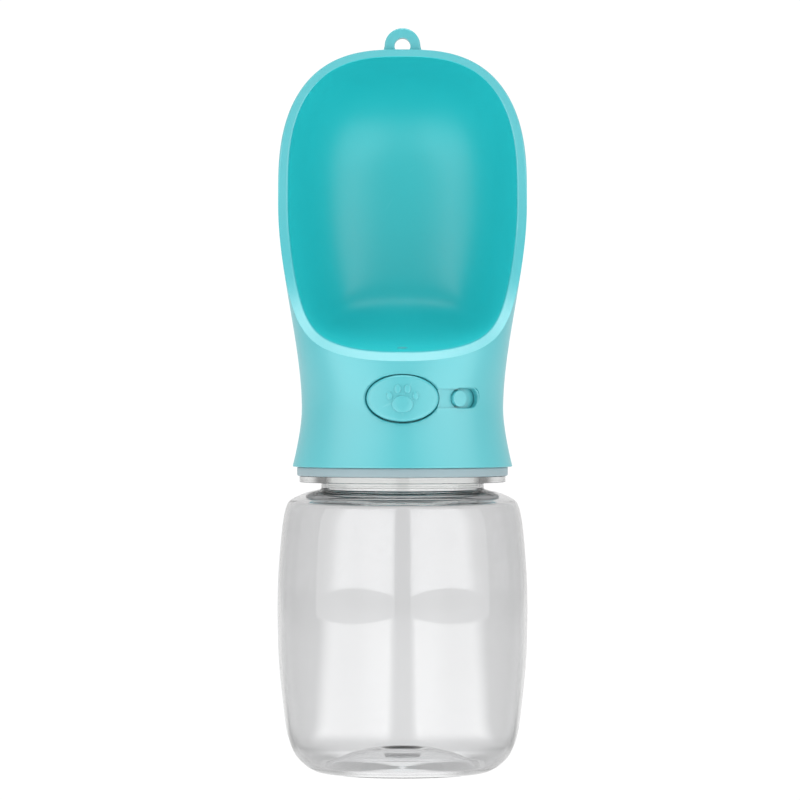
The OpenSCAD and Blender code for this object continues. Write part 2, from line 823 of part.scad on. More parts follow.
module stem_clip() {
    y = seat_y + plug_t + 0.6;
    color(steel)
    difference() {
        ring_y(y, y + 0.6, tip_d / 2 - 0.4 + fit / 2, tip_d / 2 + 1.1);
        translate([-(tip_d / 2 - 0.55), y - 1, axis_z])
        cube([tip_d - 1.1, 3, 10]);
    }
}

module lock_slider() {
    color(teal)
    difference() {
        union() {
            arc_block(slider_in, slider_out, axis_z - slider_h / 2, axis_z + slider_h / 2,
                      slider_from, slider_to);
            rotate([0, 0, knob_at - 90])
            translate([slider_out - 1, 0, axis_z])
            rotate([0, 90, 0])
            cylinder(d = knob_d, h = waist_r + knob_proud - slider_out + 1);
        }
        // two notches for the catch spring
        for (a = [slider_from + 7, slider_from + 7 + lock_turn])
            rotate([0, 0, a - 90])
            translate([slider_in - 0.3, 0, axis_z - 10])
            cylinder(r = 1.3, h = 20);
    }
}

module lock_bracket() {
    color(white)
    difference() {
        union() {
            arc_block(bracket_in, bracket_out, axis_z - slider_h / 2, ceiling_z,
                      bracket_from, bracket_to);
            arc_block(bracket_screw_r - 2.2, bracket_out, ceiling_z - bracket_top, ceiling_z,
                      bracket_from, bracket_to);
        }
        at_bracket_screws(ceiling_z - 5)
        cylinder(d = small_screw_d + 0.2, h = 10);
    }
}

module lock_spring() {
    mid = slider_from + 7 + lock_turn;
    color(steel)
    union() {
        arc_block(bracket_out + 0.02, bracket_out + 0.22, axis_z - 2, axis_z + 2, mid - 5, mid + 8);
        intersection() {
            rotate([0, 0, mid - 90])
            translate([bracket_out + 0.1, 0, axis_z - 2])
            cylinder(r = 0.75, h = 4);
            arc_block(bracket_out + 0.02, bracket_out + 3, axis_z - 2, axis_z + 2,
                      mid - 5, mid + 8);
        }
    }
}

module bracket_screws() {
    color(steel)
    at_bracket_screws(ceiling_z - bracket_top)
    union() {
        cylinder(d = small_screw_d, h = 5.4);
        translate([0, 0, -1.2])
        cylinder(d = small_screw_d * 1.8, h = 1.2);
    }
}

bottle();
neck_gasket();
head_shell();
valve_housing();
housing_seal();
housing_screws();
screw_seals();
outlet_grommet();
gland_cap();
stem_oring();
chamber_cap();
cap_oring();
button();
button_spring();
valve_stem();
valve_plug();
plug_washer();
stem_clip();
lock_slider();
lock_bracket();
lock_spring();
bracket_screws();
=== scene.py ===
"""Dresses and lights the dog travel water bottle.

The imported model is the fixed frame. This script replaces its visible shells with
smooth ones, gives every piece its finish, and sets up the studio. Sizes in the
classes are millimetres, measured from the middle of the foot; Blender's are metres.
"""

import logging
import math
from dataclasses import dataclass, field, replace
from enum import Enum
from typing import Callable, Sequence

import bpy
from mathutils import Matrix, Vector


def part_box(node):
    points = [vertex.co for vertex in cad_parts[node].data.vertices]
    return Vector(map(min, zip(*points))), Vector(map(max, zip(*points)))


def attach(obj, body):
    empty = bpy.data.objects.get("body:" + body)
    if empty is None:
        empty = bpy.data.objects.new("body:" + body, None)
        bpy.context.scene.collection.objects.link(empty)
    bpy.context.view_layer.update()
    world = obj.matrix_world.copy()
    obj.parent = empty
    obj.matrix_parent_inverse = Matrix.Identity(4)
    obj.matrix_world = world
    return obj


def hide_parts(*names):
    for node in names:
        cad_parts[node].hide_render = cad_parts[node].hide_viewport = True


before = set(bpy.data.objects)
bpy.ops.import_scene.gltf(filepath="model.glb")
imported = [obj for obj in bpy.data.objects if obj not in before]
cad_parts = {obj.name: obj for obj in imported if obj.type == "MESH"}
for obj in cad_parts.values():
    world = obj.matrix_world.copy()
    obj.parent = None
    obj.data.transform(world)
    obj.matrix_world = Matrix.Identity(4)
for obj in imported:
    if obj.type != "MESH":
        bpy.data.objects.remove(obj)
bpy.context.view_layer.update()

LOG = logging.getLogger("dog_bottle")
MM = 0.001

# A Span is also a point of a section or an outline, and a Value is what feeds an input.
Point = tuple[float, float, float]
Colour = tuple[float, float, float]
Span = tuple[float, float]
Value = bpy.types.NodeSocket | float | tuple


class Body(Enum):
    """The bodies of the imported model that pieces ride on."""

    BOTTLE = "bottle"
    GASKET = "gasket"
    HEAD = "head"
    BUTTON = "button"
    LOCK = "lock"


# ---------------------------------------------------------------- small maths


def clamp(value: float) -> float:
    """Returns the value held between 0 and 1."""
    return min(max(value, 0.0), 1.0)


def ease(value: float) -> float:
    """Returns a soft step from 0 to 1."""
    held = clamp(value)
    return held * held * (3 - 2 * held)


def mix(start: float, end: float, share: float) -> float:
    """Returns the value a share of the way from start to end."""
    return start + (end - start) * share


def sign(value: float) -> float:
    """Returns -1 for a negative number and 1 for any other."""
    return -1.0 if value < 0 else 1.0


def around(radius: float, turn: float, height: float) -> Point:
    """Returns the point at a radius and a height, turned from the front towards +X."""
    return (radius * math.sin(turn), -radius * math.cos(turn), height)


def soft_min(first: float, second: float, reach: float) -> float:
    """Returns the smaller of two numbers, rounded where they cross.

    Args:
        first: One number.
        second: The other number.
        reach: How far from the crossing the rounding starts.

    Returns:
        The rounded minimum.
    """
    share = clamp(0.5 + 0.5 * (second - first) / reach)
    return mix(second, first, share) - reach * share * (1 - share)


def round_path(points: Sequence[Span], steps: int) -> list[Span]:
    """Runs a smooth curve through a few points.

    Args:
        points: The points that the curve passes through.
        steps: How many pieces each stretch is cut into.

    Returns:
        The points of the curve, ends included.
    """
    padded = [points[0], *points, points[-1]]
    curve = []
    for before, start, end, after in zip(padded, padded[1:], padded[2:], padded[3:]):
        for step in range(steps):
            t = step / steps
            curve.append(
                tuple(
                    0.5
                    * (
                        2 * b
                        + (c - a) * t
                        + (2 * a - 5 * b + 4 * c - d) * t * t
                        + (3 * b - a - 3 * c + d) * t * t * t
                    )
                    for a, b, c, d in zip(before, start, end, after)
                )
            )
    curve.append(points[-1])
    return curve


def corner(
    before: Span,
    at: Span,
    after: Span,
    radius: float,
    steps: int = 5,
) -> list[Span]:
    """Rounds one corner of a section.

    Args:
        before: The point before the corner.
        at: The corner.
        after: The point after it.
        radius: How far along each side the rounding starts.
        steps: How many pieces the rounding has.

    Returns:
        The points that take the corner's place.
    """
    to_before = (Vector(before) - Vector(at)).normalized() * radius
    to_after = (Vector(after) - Vector(at)).normalized() * radius
    start, middle, end = Vector(at) + to_before, Vector(at), Vector(at) + to_after
    rounded = []
    for step in range(steps + 1):
        t = step / steps
        spot = start * (1 - t) ** 2 + middle * 2 * t * (1 - t) + end * t * t
        rounded.append((spot.x, spot.y))
    return rounded


def round_section(
    corners: Sequence[Span], radii: Sequence[float]
) -> list[Span]:
    """Rounds the corners of an open section, each by its own radius.

    Args:
        corners: The section's corners, in order.
        radii: One radius for each corner; 0 keeps it sharp.

    Returns:
        The section's points.
    """
    section = []
    for index, (at, radius) in enumerate(zip(corners, radii)):
        if radius == 0 or index in (0, len(corners) - 1):
            section.append(at)
        else:
            section.extend(corner(corners[index - 1], at, corners[index + 1], radius))
    return section


# ---------------------------------------------------------------- modelling


def select_only(piece: bpy.types.Object) -> None:
    """Makes one object the only one selected, and the active one.

    Args:
        piece: The piece.
    """
    bpy.ops.object.select_all(action="DESELECT")
    piece.select_set(True)
    bpy.context.view_layer.objects.active = piece


def name_new(name: str) -> bpy.types.Object:
    """Names the primitive that was just added, and returns it.

    Args:
        name: Its new name.

    Returns:
        The named piece.
    """
    piece = bpy.context.view_layer.objects.active
    piece.name = name
    piece.data.name = name
    select_only(piece)
    return piece


def settle(piece: bpy.types.Object) -> bpy.types.Object:
    """Puts a piece's place, turn and scale into its mesh.

    Args:
        piece: The piece.

    Returns:
        The same piece.
    """
    select_only(piece)
    bpy.ops.object.transform_apply(location=True, rotation=True, scale=True)
    return piece


def clean(piece: bpy.types.Object, gap: float = 0.002) -> bpy.types.Object:
    """Merges a closed mesh's doubles and turns its faces outwards.

    Args:
        piece: The piece.
        gap: Vertices closer than this many millimetres become one.

    Returns:
        The same piece.
    """
    select_only(piece)
    bpy.ops.object.mode_set(mode="EDIT")
    bpy.ops.mesh.select_all(action="SELECT")
    bpy.ops.mesh.remove_doubles(threshold=gap * MM)
    bpy.ops.mesh.normals_make_consistent(inside=False)
    bpy.ops.object.mode_set(mode="OBJECT")
    return piece


def turn_on_lathe(
    name: str, section: Sequence[Span], steps: int, closed: bool = True
) -> bpy.types.Object:
    """Spins a section of radius and height round the Z axis.

    Args:
        name: The new piece's name.
        section: Radius and height of each point, in order.
        steps: How many columns the turn has.
        closed: Whether the last point is joined to the first.

    Returns:
        The turned piece.
    """
    bpy.ops.object.select_all(action="DESELECT")
    bpy.ops.mesh.primitive_plane_add(size=MM, location=(0, 0, 0))
    piece = name_new(name)
    bpy.ops.object.mode_set(mode="EDIT")
    bpy.ops.mesh.select_all(action="SELECT")
    bpy.ops.mesh.merge(type="CENTER")
    here = Vector((section[0][0], 0, section[0][1])) * MM
    bpy.ops.transform.translate(value=here)
    path = [*section[1:], section[0]] if closed else section[1:]
    for radius, height in path:
        there = Vector((radius, 0, height)) * MM
        bpy.ops.mesh.extrude_region_move(TRANSFORM_OT_translate={"value": there - here})
        here = there
    bpy.ops.mesh.select_all(action="SELECT")
    bpy.ops.mesh.spin(
        steps=steps, angle=math.tau, center=(0, 0, 0), axis=(0, 0, 1), use_auto_merge=True
    )
    bpy.ops.object.mode_set(mode="OBJECT")
    return clean(piece)


def wrap_globe(
    name: str,
    rings: Sequence[Sequence[Point]],
    first_pole: Point,
    last_pole: Point,
    second_from: int | None = None,
) -> bpy.types.Object:
    """Pulls a globe's rings of latitude to the rings of a closed form.

    Args:
        name: The new piece's name.
        rings: Rings of equally many points, from the first pole to the last.
        first_pole: Where the globe's lowest point goes.
        last_pole: Where its highest point goes.
        second_from: The ring from which on faces take the second material.

    Returns:
        The shaped piece.
    """
    columns = len(rings[0])
    bpy.ops.object.select_all(action="DESELECT")
    bpy.ops.mesh.primitive_uv_sphere_add(
        segments=columns, ring_count=len(rings) + 1, radius=1.0, location=(0, 0, 0)
    )
    piece = name_new(name)
    rows = []
    for vertex in piece.data.vertices:
        x, y, z = vertex.co
        row = round(math.acos(max(-1.0, min(1.0, -z))) / math.pi * (len(rings) + 1)) - 1
        rows.append(row)
        if row < 0:
            place = first_pole
        elif row >= len(rings):
            place = last_pole
        else:
            column = round((math.atan2(y, x) + math.pi / 2) / math.tau * columns) % columns
            place = rings[row][column]
        vertex.co = Vector(place) * MM
    if second_from is not None:
        for face in piece.data.polygons:
            face.material_index = int(min(rows[v] for v in face.vertices) >= second_from)
    return clean(piece, gap=0.0005)


def apply_all(piece: bpy.types.Object) -> None:
    """Applies every modifier of a piece, in order.

    Args:
        piece: The piece.
    """
    select_only(piece)
    for modifier in list(piece.modifiers):
        bpy.ops.object.modifier_apply(modifier=modifier.name)


def cut(piece: bpy.types.Object, cutter: bpy.types.Object) -> None:
    """Cuts one solid out of a piece."""
    combine(piece, cutter, "DIFFERENCE")


def fuse(piece: bpy.types.Object, other: bpy.types.Object) -> None:
    """Joins another solid to a piece, as one moulding."""
    combine(piece, other, "UNION")


def combine(piece: bpy.types.Object, other: bpy.types.Object, operation: str) -> None:
    """Applies a Boolean modifier between two solids, and removes the second.

    Args:
        piece: The piece that is changed.
        other: The second solid.
        operation: The modifier's operation.
    """
    modifier = piece.modifiers.new("solid", "BOOLEAN")
    modifier.operation = operation
    modifier.solver = "EXACT"
    modifier.object = other
    apply_all(piece)
    bpy.data.objects.remove(other)


def smooth(piece: bpy.types.Object, degrees: float = 32) -> None:
    """Shades a piece smooth, apart from edges sharper than an angle."""
    select_only(piece)
    bpy.ops.object.shade_smooth_by_angle(angle=math.radians(degrees))


# ---------------------------------------------------------------- the head


@dataclass
class HeadForm:
    """The head's surface: skirt, bowl and rim, as formulas of height and angle.

    Attributes:
        head_z: Height of the skirt's lower edge.
        crown_z: Height of the bowl's crown.
        bowl_w: Width of the bowl.
        bowl_back: Depth of the bowl behind the middle.
        waist_up: Height of the narrowest place over the skirt's edge.
        lip_up: Height of the bowl's front lip over the skirt's edge.
        full_share: Share of the bowl's height at which it is at its widest.
        dome_from: Share of its height at which the dome starts.
        pole_share: Share of its height at which the bowl's rings meet.
        split_drop: How far under the lip the skirt's level rows end.
        flare_n: How fast the skirt flares under the waist.
        dome_n: How long the dome keeps its width.
        dome_bend: How squarely it closes at the crown.
        back_dome_n: How long the dome keeps its depth.
        front_square: How much squarer than an ellipse the front gets.
        cut_len: How fast the rim moves back as it climbs.
        back_n: Squareness of the bowl's back.
        floor_n: How suddenly the bowl's floor turns up.
        floor_bend: How flat it lies before that.
        floor_blend: How wide the floor blends into the wall.
        half: Columns in half a turn.
        fine: Steps in which the rim's length is measured.
    """

    head_z: float
    crown_z: float
    bowl_w: float
    bowl_back: float
    skirt_r: float = 33.0
    waist_r: float = 30.2
    waist_up: float = 16.8
    lip_up: float = 31.4
    wall: float = 2.6
    rim_w: float = 3.0
    full_share: float = 0.504
    dome_from: float = 0.557
    pole_share: float = 0.6
    split_drop: float = 4.6
    flare_n: float = 1.5
    dome_n: float = 2.5
    dome_bend: float = 2.8
    back_dome_n: float = 2.2
    front_square: float = 0.6
    cut_len: float = 16.5
    back_n: float = 2.2
    floor_n: float = 4.5
    floor_bend: float = 3.0
    floor_blend: float = 3.0
    rim_round: float = 0.75
    foot_round: float = 0.5
    half: int = 72
    low_rows: int = 14
    high_rows: int = 34
    bowl_rows: int = 34
    fine: int = 480
    rim: list[Point] = field(default_factory=list)
    rim_angle: list[float] = field(default_factory=list)

    def __post_init__(self) -> None:
        """Works out the levels and the rim's outer edge."""
        self.waist_z = self.head_z + self.waist_up
        self.lip_z = self.head_z + self.lip_up
        self.rise = self.crown_z - self.lip_z
        self.full_z = self.lip_z + self.full_share * self.rise
        self.dome_z = self.lip_z + self.dome_from * self.rise
        self.split_z = self.lip_z - self.split_drop
        self.pole_z = self.lip_z + self.pole_share * self.rise
        self.pole_y = self.bowl_back - self.wall
        self._lay_rim()
        self.lip_in = self.rim_inner(0)

    def half_width(self, z: float) -> float:
        """Returns half the head's width at a height.

        Args:
            z: The height.

        Returns:
            Half the width.
        """
        if z < self.waist_z:
            share = (self.waist_z - z) / self.waist_up
            return self.waist_r + (self.skirt_r - self.waist_r) * share**self.flare_n
        if z < self.dome_z:
            share = ease((z - self.waist_z) / (self.full_z - self.waist_z))
            return mix(self.waist_r, self.bowl_w / 2, share)
        share = (z - self.dome_z) / (self.crown_z - self.dome_z)
        return self.bowl_w / 2 * max(0.0, 1 - share**self.dome_n) ** (1 / self.dome_bend)

    def half_depth(self, z: float) -> float:
        """Returns half the head's depth at a height.

        Args:
            z: The height.

        Returns:
            Half the depth.
        """
        if z < self.dome_z:
            share = ease((z - self.waist_z) / (self.full_z - self.waist_z))
            return self.half_width(z) * mix(1, self.bowl_back / (self.bowl_w / 2), share)
        share = (z - self.dome_z) / (self.crown_z - self.dome_z)
        return self.bowl_back * math.sqrt(max(0.0, 1 - share**self.back_dome_n))

    def front_squareness(self, z: float) -> float:
        """Returns the exponent of the front half's rounding at a height.

        Args:
            z: The height.

        Returns:
            The exponent.
        """
        over_lip = 6.0
        climb = ease((z - self.waist_z) / (self.lip_z + over_lip - self.waist_z))
        return 2 + self.front_square * climb

    def back_squareness(self, z: float) -> float:
        """Returns the exponent of the back half's rounding at a height."""
        blend_up = 30.0
        return mix(2, self.back_n, ease((z - self.waist_z) / blend_up))

    def skin(self, z: float, angle: float) -> Point:
        """Returns a point of the outer skin.

        Args:
            z: Its height.
            angle: Degrees from the front towards +X.

        Returns:
            The point, in millimetres.
        """
        turn = math.radians(angle)
        front = math.cos(turn) > 0
        n = self.front_squareness(z) if front else self.back_squareness(z)
        s, c = math.sin(turn), math.cos(turn)
        return (
            self.half_width(z) * sign(s) * abs(s) ** (2 / n),
            -self.half_depth(z) * sign(c) * abs(c) ** (2 / n),
            z,
        )

    def cut_angle(self, z: float) -> float:
        """Returns the angle at which the rim crosses the skin at a height."""
        share = math.exp(-(z - self.lip_z) / self.cut_len)
        return math.degrees(math.acos(min(1.0, share ** (self.front_squareness(z) / 2))))

    def _lay_rim(self) -> None:
        """Lays the rim's outer edge in even steps from lip to crown."""
        levels = []
        for index in range(self.fine + 1):
            v = index / self.fine
            if v < 0.5:
                levels.append(self.lip_z + self.rise * 0.5 * (2 * v) ** 2)
            else:
                levels.append(self.crown_z - self.rise * 0.5 * (2 - 2 * v) ** 2.6)
        spots = [Vector(self.skin(z, self.cut_angle(z))) for z in levels]
        lengths = [0.0]
        for start, end in zip(spots, spots[1:]):
            lengths.append(lengths[-1] + (end - start).length)
        reach = 0
        for column in range(self.half):
            goal = lengths[-1] * column / self.half
            while lengths[reach + 1] < goal:
                reach += 1
            span = lengths[reach + 1] - lengths[reach]
            z = mix(levels[reach], levels[reach + 1], (goal - lengths[reach]) / span)
            self.rim.append(self.skin(z, self.cut_angle(z)))
            self.rim_angle.append(self.cut_angle(z))
        self.rim.append((0.0, 0.0, self.crown_z))
        self.rim_angle.append(90.0)

    def rim_inner(self, column: int) -> Point:
        """Returns the rim's inner edge at a column.

        The rim is a little narrower at the lip and at the crown, and its inner edge
        lies behind the outer one at the lip.

        Args:
            column: The column, from the front round to the back.

        Returns:
            The point, in millimetres.
        """
        last = self.half
        step = 3
        before = self.rim[max(column - step, 0)]
        after = self.rim[min(column + step, last)]
        ax, az = before[0], before[2]
        bx, bz = after[0], after[2]
        if column < step:
            ax, az = -self.rim[step - column][0], self.rim[step - column][2]
            if column == 0:
                az = bz
        if column > last - step:
            over = column + step - last
            bx, bz = -self.rim[last - over][0], self.rim[last - over][2]
        along = Vector((bx - ax, bz - az)).normalized()
        place = column * 24 / self.half
        lip_end, crown_start, crown_len = 5, 15, 9
        if place < lip_end:
            share = mix(0.93, 1, place / lip_end)
        else:
            share = mix(1, 0.8, ease((place - crown_start) / crown_len))
        width = self.rim_w * share
        at = self.rim[column]
        back = 2.7 * (1 - ease(place / 10)) * self.rim_w / 3 + 0.2
        return (at[0] - width * along.y, at[1] + back, at[2] + width * along.x)

    def low_ring(self, share: float, column: int) -> Point:
        """Returns a point of the skirt, from its foot to the bowl's start."""
        return self.skin(mix(self.head_z, self.split_z, share), 180 * column / self.half)

    def back_angle(self, z: float, column: int, climb: float) -> float:
        """Returns the angle of a back column, kept near one width as it climbs.

        Args:
            z: The height.
            column: The column, from the front round to the back.
            climb: How far up the skin the row lies, from 0 to 1.

        Returns:
            The angle, in degrees.
        """
        if column == self.half:
            return 180.0
        even = math.sin(math.pi * column / self.half)
        rim_share = min(1.0, self.rim[column][0] / self.half_width(z))
        r = mix(even, rim_share, ease(climb * 1.5))
        turn = math.degrees(math.asin(min(1.0, r ** (self.back_squareness(z) / 2))))
        return 180 - turn - (90 - self.rim_angle[column]) * climb * climb

    def high_ring(self, share: float, column: int) -> Point:
        """Returns a point of the skin between the bowl's start and the rim.

        Args:
            share: How far along the row lies, from 0 to 1.
            column: The column, from the front round to the back.

        Returns:
            The point, in millimetres.
        """
        climb = 1 - (1 - share) ** 1.6
        z = mix(self.split_z, self.rim[column][2], climb)
        angle = mix(180 * column / self.half, self.rim_angle[column], climb)
        if column > self.half / 2:
            behind = ease((column / self.half - 0.5) / 0.3)
            angle = mix(angle, self.back_angle(z, column, climb), behind)
        return self.skin(z, angle)

    def ramp_y(self, z: float) -> float:
        """Returns how far back the bowl's floor lies at a height."""
        r = clamp((self.pole_z - z) / (self.pole_z - self.lip_in[2]))
        return mix(self.lip_in[1], self.pole_y, (1 - r**self.floor_n) ** (1 / self.floor_bend))

    def floor_z(self, y: float) -> float:
        """Returns the height of the bowl's floor at a depth."""
        v = clamp((y - self.lip_in[1]) / (self.pole_y - self.lip_in[1])) ** self.floor_bend
        return mix(self.pole_z, self.lip_in[2], (1 - v) ** (1 / self.floor_n))

    def dome_share(self, z: float, power: float) -> float:
        """Returns how much of the dome's width or depth is left at a height."""
        top = self.crown_z - self.wall - self.dome_z
        return 1 - clamp((z - self.dome_z) / top) ** power

    def wall_y(self, x: float, z: float) -> float:
        """Returns how far back the bowl's wall lies at a place.

        Args:
            x: The place sideways.
            z: The height.

        Returns:
            The depth.
        """
        if z < self.dome_z:
            width, depth = self.half_width(z) - self.wall, self.half_depth(z) - self.wall
        else:
            left = self.dome_share(z, self.dome_n) ** (1 / self.dome_bend)
            width = (self.bowl_w / 2 - self.wall) * left
            depth = (self.bowl_back - self.wall) * math.sqrt(self.dome_share(z, self.back_dome_n))
        across = clamp(1 - (abs(x) / (width + 0.001)) ** self.back_n)
        return depth * across ** (1 / self.back_n)

    def bowl_y(self, x: float, z: float) -> float:
        """Returns how far back the bowl's inside lies at a place."""
        return soft_min(self.wall_y(x, z), self.ramp_y(z), self.floor_blend)

    def bowl_point(self, share: float, column: int) -> Point:
        """Returns a point of the bowl's inside, from the rim to its middle.

        Args:
            share: How far along the row lies, from 0 to 1.
            column: The column, from the front round to the back.

        Returns:
            The point, in millimetres.
        """
        edge = self.rim_inner(column)
        f = math.cos(math.pi / 2 * share)
        x, z = edge[0] * f, mix(self.pole_z, edge[2], f)
        g = (1 - f**12) ** 0.45
        return (x, mix(edge[1], max(edge[1], self.bowl_y(x, z)), g), z)

    def rings(self) -> list[list[Point]]:
        """Returns every ring of the skin, from the foot round the rim into the bowl.

        Returns:
            The rings, each a list of points.
        """

        def row(rule: Callable[[float, int], Point], share: float) -> list[Point]:
            """Returns one row of points that a rule gives."""
            return [rule(share, column) for column in range(self.half + 1)]

        halves = [
            [(x * 0.5, y * 0.5, z) for x, y, z in self._foot_ring(0)],
            self._foot_ring(2.5 * self.foot_round),
            self._foot_ring(self.foot_round * 0.5),
            self._foot_ring(0, self.foot_round * 0.5),
        ]
        halves += [row(self.low_ring, (r + 0.35) / self.low_rows) for r in range(self.low_rows)]
        halves += [row(self.high_ring, r / self.high_rows) for r in range(self.high_rows)]
        halves.append(row(self.high_ring, 0.985))
        halves += [row(self._rim_band, share) for share in self._rim_shares()]
        halves += [row(self.bowl_point, (r + 0.22) / self.bowl_rows) for r in range(self.bowl_rows)]
        return [self._mirror(ring) for ring in halves]

    def _foot_ring(self, inward: float, upward: float = 0.0) -> list[Point]:
        """Returns a ring of the flat foot, or just above it, moved inward.

        Args:
            inward: How far the ring is moved inward.
            upward: How far it is moved up.

        Returns:
            The ring.
        """
        ring = []
        for column in range(self.half + 1):
            x, y, z = self.low_ring(0, column)
            shrink = 1 - inward / self.skirt_r
            ring.append((x * shrink, y * shrink, z + upward))
        return ring

    def _rim_shares(self) -> tuple[float, ...]:
        """Returns where the rows across the rim lie, from its outer to its inner edge."""
        near = self.rim_round / self.rim_w
        return (near * 0.35, near, 0.5, 1 - near, 1 - near * 0.35)

    def _rim_band(self, share: float, column: int) -> Point:
        """Returns a point across the rim, from its outer to its inner edge."""
        return tuple(Vector(self.rim[column]).lerp(Vector(self.rim_inner(column)), share))

    @staticmethod
    def _mirror(ring: Sequence[Point]) -> list[Point]:
        """Returns a whole ring from its +X half."""
        other = [(-x, y, z) for x, y, z in reversed(ring[1:-1])]
        return [*ring, *other]


@dataclass
class DrinkingHead:
    """The one-piece scoop head: skirt, bowl, rim, openings and hang ring.

    Attributes:
        form: The head's outer and inner surface.
        deck_top: Height up to which the wider cavity takes the housing's deck.
        ceiling_z: Height of the space's ceiling under the bowl.
        axis_z: Height of the button, the valve and the lock.
        mouth_r: Radius up to which an opening in the skirt is straight.
        flare: How far an opening's mouth is rounded.
        window_at: Degrees from the front to the middle of the lock's window.
        track_from: Degrees at which the track beside the button starts.
        track_depth: Depth of the track at the button.
        track_end: Its depth at the window.
        pocket_before: Degrees by which the slider's pocket starts before the window.
        pocket_to: Degrees at which it ends.
        riser_r: Radius of the outlet grommet's socket.
        ring_drop: How far the ring's bore is sunk towards the crown.
    """

    form: HeadForm
    deck_top: float = 104.0
    ceiling_z: float = 121.4
    cavity_r: float = 28.4
    void_r: float = 27.4
    axis_z: float = 111.7
    button_w: float = 21.2
    button_h: float = 13.7
    button_gap: float = 0.35
    mouth_r: float = 29.3
    flare: float = 0.35
    gap_left: float = 0.06
    gap_down: float = 0.12
    window_w: float = 9.9
    window_h: float = 5.7
    window_at: float = 37.8
    track_from: float = 20.0
    track_depth: float = 0.25
    track_end: float = 0.75
    pocket_r: float = 28.7
    pocket_h: float = 9.4
    pocket_before: float = 9.2
    pocket_to: float = 61.0
    outlet_d: float = 3.3
    outlet_y: float = -12.9
    riser_r: float = 4.25
    ring_w: float = 10.8
    ring_bore: float = 4.8
    ring_t: float = 4.0
    ring_y: float = 7.0
    ring_drop: float = 1.2

    def build(self, paints: dict[str, bpy.types.Material]) -> bpy.types.Object:
        """Models the head and returns it.

        Args:
            paints: The finished materials, by name.

        Returns:
            The head, with its skin's material first and its bowl's second, whose deeper teal is
            painted shade.
        """
        form = self.form
        rings = form.rings()
        shell = wrap_globe(
            "head_shell_skin",
            rings,
            (0.0, 0.0, form.head_z),
            (0.0, form.bowl_y(0, form.pole_z), form.pole_z),
            len(rings) - form.bowl_rows,
        )
        # The bowl's rings take the second material, a deeper teal that is painted shade of the
        # hollow.
        for finish in (TEAL, SHADED_BOWL):
            shell.data.materials.append(paints[finish.name])
        detail = shell.modifiers.new("detail", "SUBSURF")
        detail.levels = detail.render_levels = 1
        apply_all(shell)
        fuse(shell, self._hang_ring())
        fuse(shell, self._outlet_lip())
        for cutter in (
            self._cavity(),
            self._outlet_bore(),
            self._button_opening(),
            self._lock_pocket(),
            self._lock_track(),
            self._lock_window(),
        ):
            cut(shell, cutter)
        smooth(shell)
        return shell

    def _hang_ring(self) -> bpy.types.Object:
        """Models the hang ring with its round bore.

        Returns:
            The ring.
        """
        crown, radius = self.form.crown_z, self.ring_w / 2
        top = crown + self.ring_bore / 2 - self.ring_drop
        flare = ((2.4, 2.6), (1.3, 1.1), (0.35, 0.1))
        flank = [(radius + out, crown - down) for out, down in flare]
        arc = [
            (radius * math.cos(math.radians(a)), top + radius * math.sin(math.radians(a)))
            for a in range(0, 186, 6)
        ]
        outline = [*flank, *arc, *((-x, z) for x, z in reversed(flank))]
        tab = plate("hang_ring", outline, self.ring_y - self.ring_t / 2, self.ring_t, edge=0.6)
        cut(tab, peg("ring_bore", (0, self.ring_y, top), self.ring_bore / 2, 3 * self.ring_t, 64))
        return tab

    def _outlet_lip(self) -> bpy.types.Object:
        """Models the raised ring round the outlet.

        Returns:
            The raised ring.
        """
        z = self.form.floor_z(self.outlet_y)
        low, high, r = z - 2, z + 0.7, self.outlet_d / 2 + 1
        section = round_section([(0, low), (r, low), (r, high), (0, high)], [0, 0, 0.35, 0])
        lip = turn_on_lathe("outlet_lip", section, 48)
        lip.location.y = self.outlet_y * MM
        return settle(lip)

    def _outlet_bore(self) -> bpy.types.Object:
        """Models the space of the outlet and of its grommet's socket.

        Returns:
            The cutter.
        """
        low, shoulder, high = self.ceiling_z - 1, self.ceiling_z + 2.2, self.ceiling_z + 19
        r, socket = self.outlet_d / 2, self.riser_r
        section = [(0, low), (socket, low), (socket, shoulder), (r, shoulder), (r, high), (0, high)]
        bore = turn_on_lathe("outlet_bore", section, 48)
        bore.location.y = self.outlet_y * MM
        return settle(bore)

    def _cavity(self) -> bpy.types.Object:
        """Models the space for the valve housing under the bowl.

        Returns:
            The cutter.
        """
        low, top = self.form.head_z - 1, self.ceiling_z
        section = [
            (0, low),
            (self.cavity_r, low),
            (self.cavity_r, self.deck_top),
            (self.void_r, self.deck_top),
            (self.void_r, top),
            (0, top),
        ]
        return turn_on_lathe("cavity", section, 128)

    def _mouth(
        self, name: str, outline: Callable[[float, float], Span], inner: float
    ) -> bpy.types.Object:
        """Models the space of an opening in the skirt, with a rounded mouth.

        Args:
            name: The cutter's name.
            outline: Gives length along the skirt and height over the valve's axis for
                a turn in radians and a distance outside the opening's edge.
            inner: Radius at which the space ends inside.

        Returns:
            The cutter.
        """
        columns, flare, outside = 96, self.flare, 3.0

        def ring(spread: float, radius: float | None, lift: float = 0.0) -> list[Point]:
            """Returns one ring of the cutter."""
            turns = (math.tau * column / columns for column in range(columns))
            return [self._on_skirt(*outline(turn, spread), radius, lift) for turn in turns]

        stack = [
            ring(0.0, inner),
            ring(0.0, self.mouth_r),
            ring(0.0, None, -flare),
            ring(0.05, None, -flare * 0.55),
            ring(flare * 0.3, None, -flare * 0.2),
            ring(flare, None, 0.08),
            ring(flare + 0.05, None, outside),
        ]
        middle = outline(0.0, 0.0)[0] / 2 + outline(math.pi, 0.0)[0] / 2
        ends = (self._on_skirt(middle, 0, inner), self._on_skirt(middle, 0, None, outside))
        return wrap_globe(name, stack, *ends)

